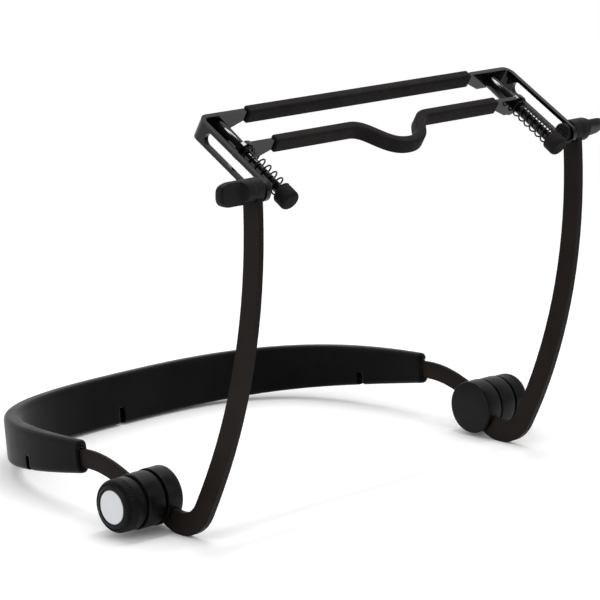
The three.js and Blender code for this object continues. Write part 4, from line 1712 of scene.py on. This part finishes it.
@dataclass(frozen=True)
class Studio:
    """The pale floor, the lamps, the world and the camera."""

    camera_place: Triple = (-0.732304, -0.764749, 0.306686)
    right: Triple = (0.71249157, -0.70164715, -0.00685801)
    up: Triple = (0.16164789, 0.15461978, 0.97466029)
    back: Triple = (-0.68280723, -0.69554583, 0.22358507)
    lens: float = 171.156
    sensor: float = 36.0
    clip: Pair = (0.05, 60.0)
    ambient: float = 0.30
    dim_side: float = 0.12
    dim_range: Pair = (-0.35, 0.55)
    floor_albedo: float = 0.78
    floor_lift: float = 0.49
    floor_fade: Pair = (0.22, 0.75)
    contact_reach: float = 0.022
    floor_half: float = 8.0
    lamps: tuple[SoftBox, ...] = (
        SoftBox("overhead", (0.20, 0.45, 1.10), (0.7, 0.7), 2.8),
        SoftBox("left_fill", (-1.25, 0.25, 0.45), (0.8, 0.8), 4.7),
        SoftBox("front_fill", (0.45, -1.15, 0.70), (0.6, 0.6), 2.7),
        SoftBox(
            "top_strip", (0.12, -0.03, 1.02), (0.05, 0.60), 2.8, (0.0, -0.065, 0.14),
            (1.0, 0.0, 0.0),
        ),
    )

    def build(self) -> None:
        """Sets up everything round the holder."""
        self._camera()
        self._world()
        bm = bmesh.new()
        bmesh.ops.create_grid(bm, x_segments=1, y_segments=1, size=self.floor_half)
        kept("floor", bm, self._floor_material())
        for lamp in self.lamps:
            lamp.light()

    def _camera(self) -> None:
        """Places the camera at the photograph's viewpoint."""
        data = bpy.data.cameras.new("viewpoint")
        data.sensor_fit = "HORIZONTAL"
        data.sensor_width = self.sensor
        data.lens = self.lens
        data.clip_start, data.clip_end = self.clip
        camera = shown(bpy.data.objects.new("viewpoint", data))
        turn = Matrix((self.right, self.up, self.back)).transposed().to_4x4()
        camera.matrix_world = Matrix.Translation(self.camera_place) @ turn
        bpy.context.scene.camera = camera

    def _world(self) -> None:
        """A white world behind the holder, dimmer in reflections toward the camera's side."""
        world = bpy.data.worlds.new("pale_room")
        nodes = Nodes.of(world)
        way = nodes.node("ShaderNodeTexCoord").outputs["Generated"]
        links = {0: way, 1: tuple(-Vector(self.back))}
        toward = nodes.node("ShaderNodeVectorMath", links, operation="DOT_PRODUCT")
        mirrored = nodes.ranged(
            toward.outputs["Value"], self.dim_range, (self.dim_side, 1.0), "SMOOTHSTEP"
        )
        path = nodes.node("ShaderNodeLightPath").outputs
        in_glossy = nodes.ranged(path["Is Glossy Ray"], target=(self.ambient, mirrored))
        direct = nodes.math("MAXIMUM", path["Is Camera Ray"], path["Is Transmission Ray"])
        strength = nodes.ranged(direct, target=(in_glossy, 1.0))
        glow = nodes.node("ShaderNodeBackground", {"Color": (1, 1, 1, 1), "Strength": strength})
        nodes.node("ShaderNodeOutputWorld", {"Surface": glow})
        bpy.context.scene.world = world

    def _floor_material(self) -> bpy.types.Material:
        """A plain pale floor that keeps the holder's shadow, dims its glow near the holder as
        painted contact shade, and turns white far away.

        Returns:
            The material.
        """
        material = bpy.data.materials.new("pale_table")
        nodes = Nodes.of(material)
        path = nodes.node("ShaderNodeLightPath").outputs
        seen = path["Is Camera Ray"]
        for name in ("Is Glossy Ray", "Is Transmission Ray"):
            seen = nodes.math("MAXIMUM", seen, path[name])
        # Painted shade: ambient occlusion dims the floor's glow near the holder, a painted contact
        # shadow.
        reach = {"Distance": self.contact_reach}
        corner = nodes.node("ShaderNodeAmbientOcclusion", reach, samples=12).outputs["AO"]
        lift = nodes.math("MULTIPLY", nodes.math("MULTIPLY", seen, self.floor_lift), corner)
        matt = nodes.node("ShaderNodeBsdfDiffuse", {"Color": (*[self.floor_albedo] * 3, 1)})
        glow = nodes.node("ShaderNodeEmission", {"Strength": lift})
        near = nodes.node("ShaderNodeAddShader", {0: matt, 1: glow})
        far = nodes.node("ShaderNodeEmission", {"Strength": seen})
        place = nodes.node("ShaderNodeTexCoord").outputs["Object"]
        away = nodes.node("ShaderNodeVectorMath", {0: place}, operation="LENGTH")
        fade = nodes.ranged(away.outputs["Value"], self.floor_fade, kind="SMOOTHSTEP")
        mix = nodes.node("ShaderNodeMixShader", {0: fade, 1: near, 2: far})
        nodes.node("ShaderNodeOutputMaterial", {"Surface": mix})
        return material

    @staticmethod
    def lower_floor(pieces: Iterable[Piece]) -> None:
        """Keeps the floor under the holder's lowest point, however its joints stand.

        Args:
            pieces: The pieces that can swing below the table top.
        """
        tree = Tree("under_the_holder")
        low: object = 0.0
        for piece in pieces:
            shape = tree.node(
                "GeometryNodeObjectInfo", {"Object": piece}, transform_space="RELATIVE"
            )
            box = tree.node("GeometryNodeBoundBox", {0: shape.outputs["Geometry"]})
            corner = tree.node("ShaderNodeSeparateXYZ", {0: box.outputs["Min"]})
            low = tree.math("MINIMUM", low, corner.outputs["Z"])
        drop = tree.node("ShaderNodeCombineXYZ", {2: low})
        links = {"Geometry": tree.source, "Offset": drop}
        tree.end(tree.node("GeometryNodeSetPosition", links))
        floor = bpy.data.objects["floor"]
        floor.modifiers.new(tree.tree.name, "NODES").node_group = tree.tree


def main() -> None:
    """Builds the holder's looks over the CAD frame, and the studio round it."""
    logging.basicConfig(level=logging.INFO, format="%(name)s: %(message)s")
    bpy.context.scene.view_settings.view_transform = "Standard"
    datum = Datum.read()
    coil, ribs, strip = coil_tree(), rib_tree(), strip_tree()
    Studio().build()
    band = NeckBand(datum, strip=strip)
    neck = [band, NeckPad(datum, band=band)]
    channel = ClampChannel(datum)
    moving: list[SubAssembly] = [channel, SprungBar(datum, channel=channel)]
    for side, stretch, play, swing in ((Side.LEFT, 0.0, -0.4, 48.0), (Side.RIGHT, 1.2, 0.8, 0.0)):
        moving += [
            LockingHub(datum, side=side, ribs=ribs),
            BowedArm(datum, side=side),
            GuidePost(datum, side=side, coil=coil, stretch=stretch, spring_play=play),
            WingScrew(datum, side=side, swing=swing),
        ]
    for assembly in neck + moving:
        assembly.build()
    Studio.lower_floor(piece for assembly in moving for piece in assembly.pieces)
    log.info("%d pieces built", sum(len(assembly.pieces) for assembly in neck + moving))


if __name__ == "__main__":
    main()
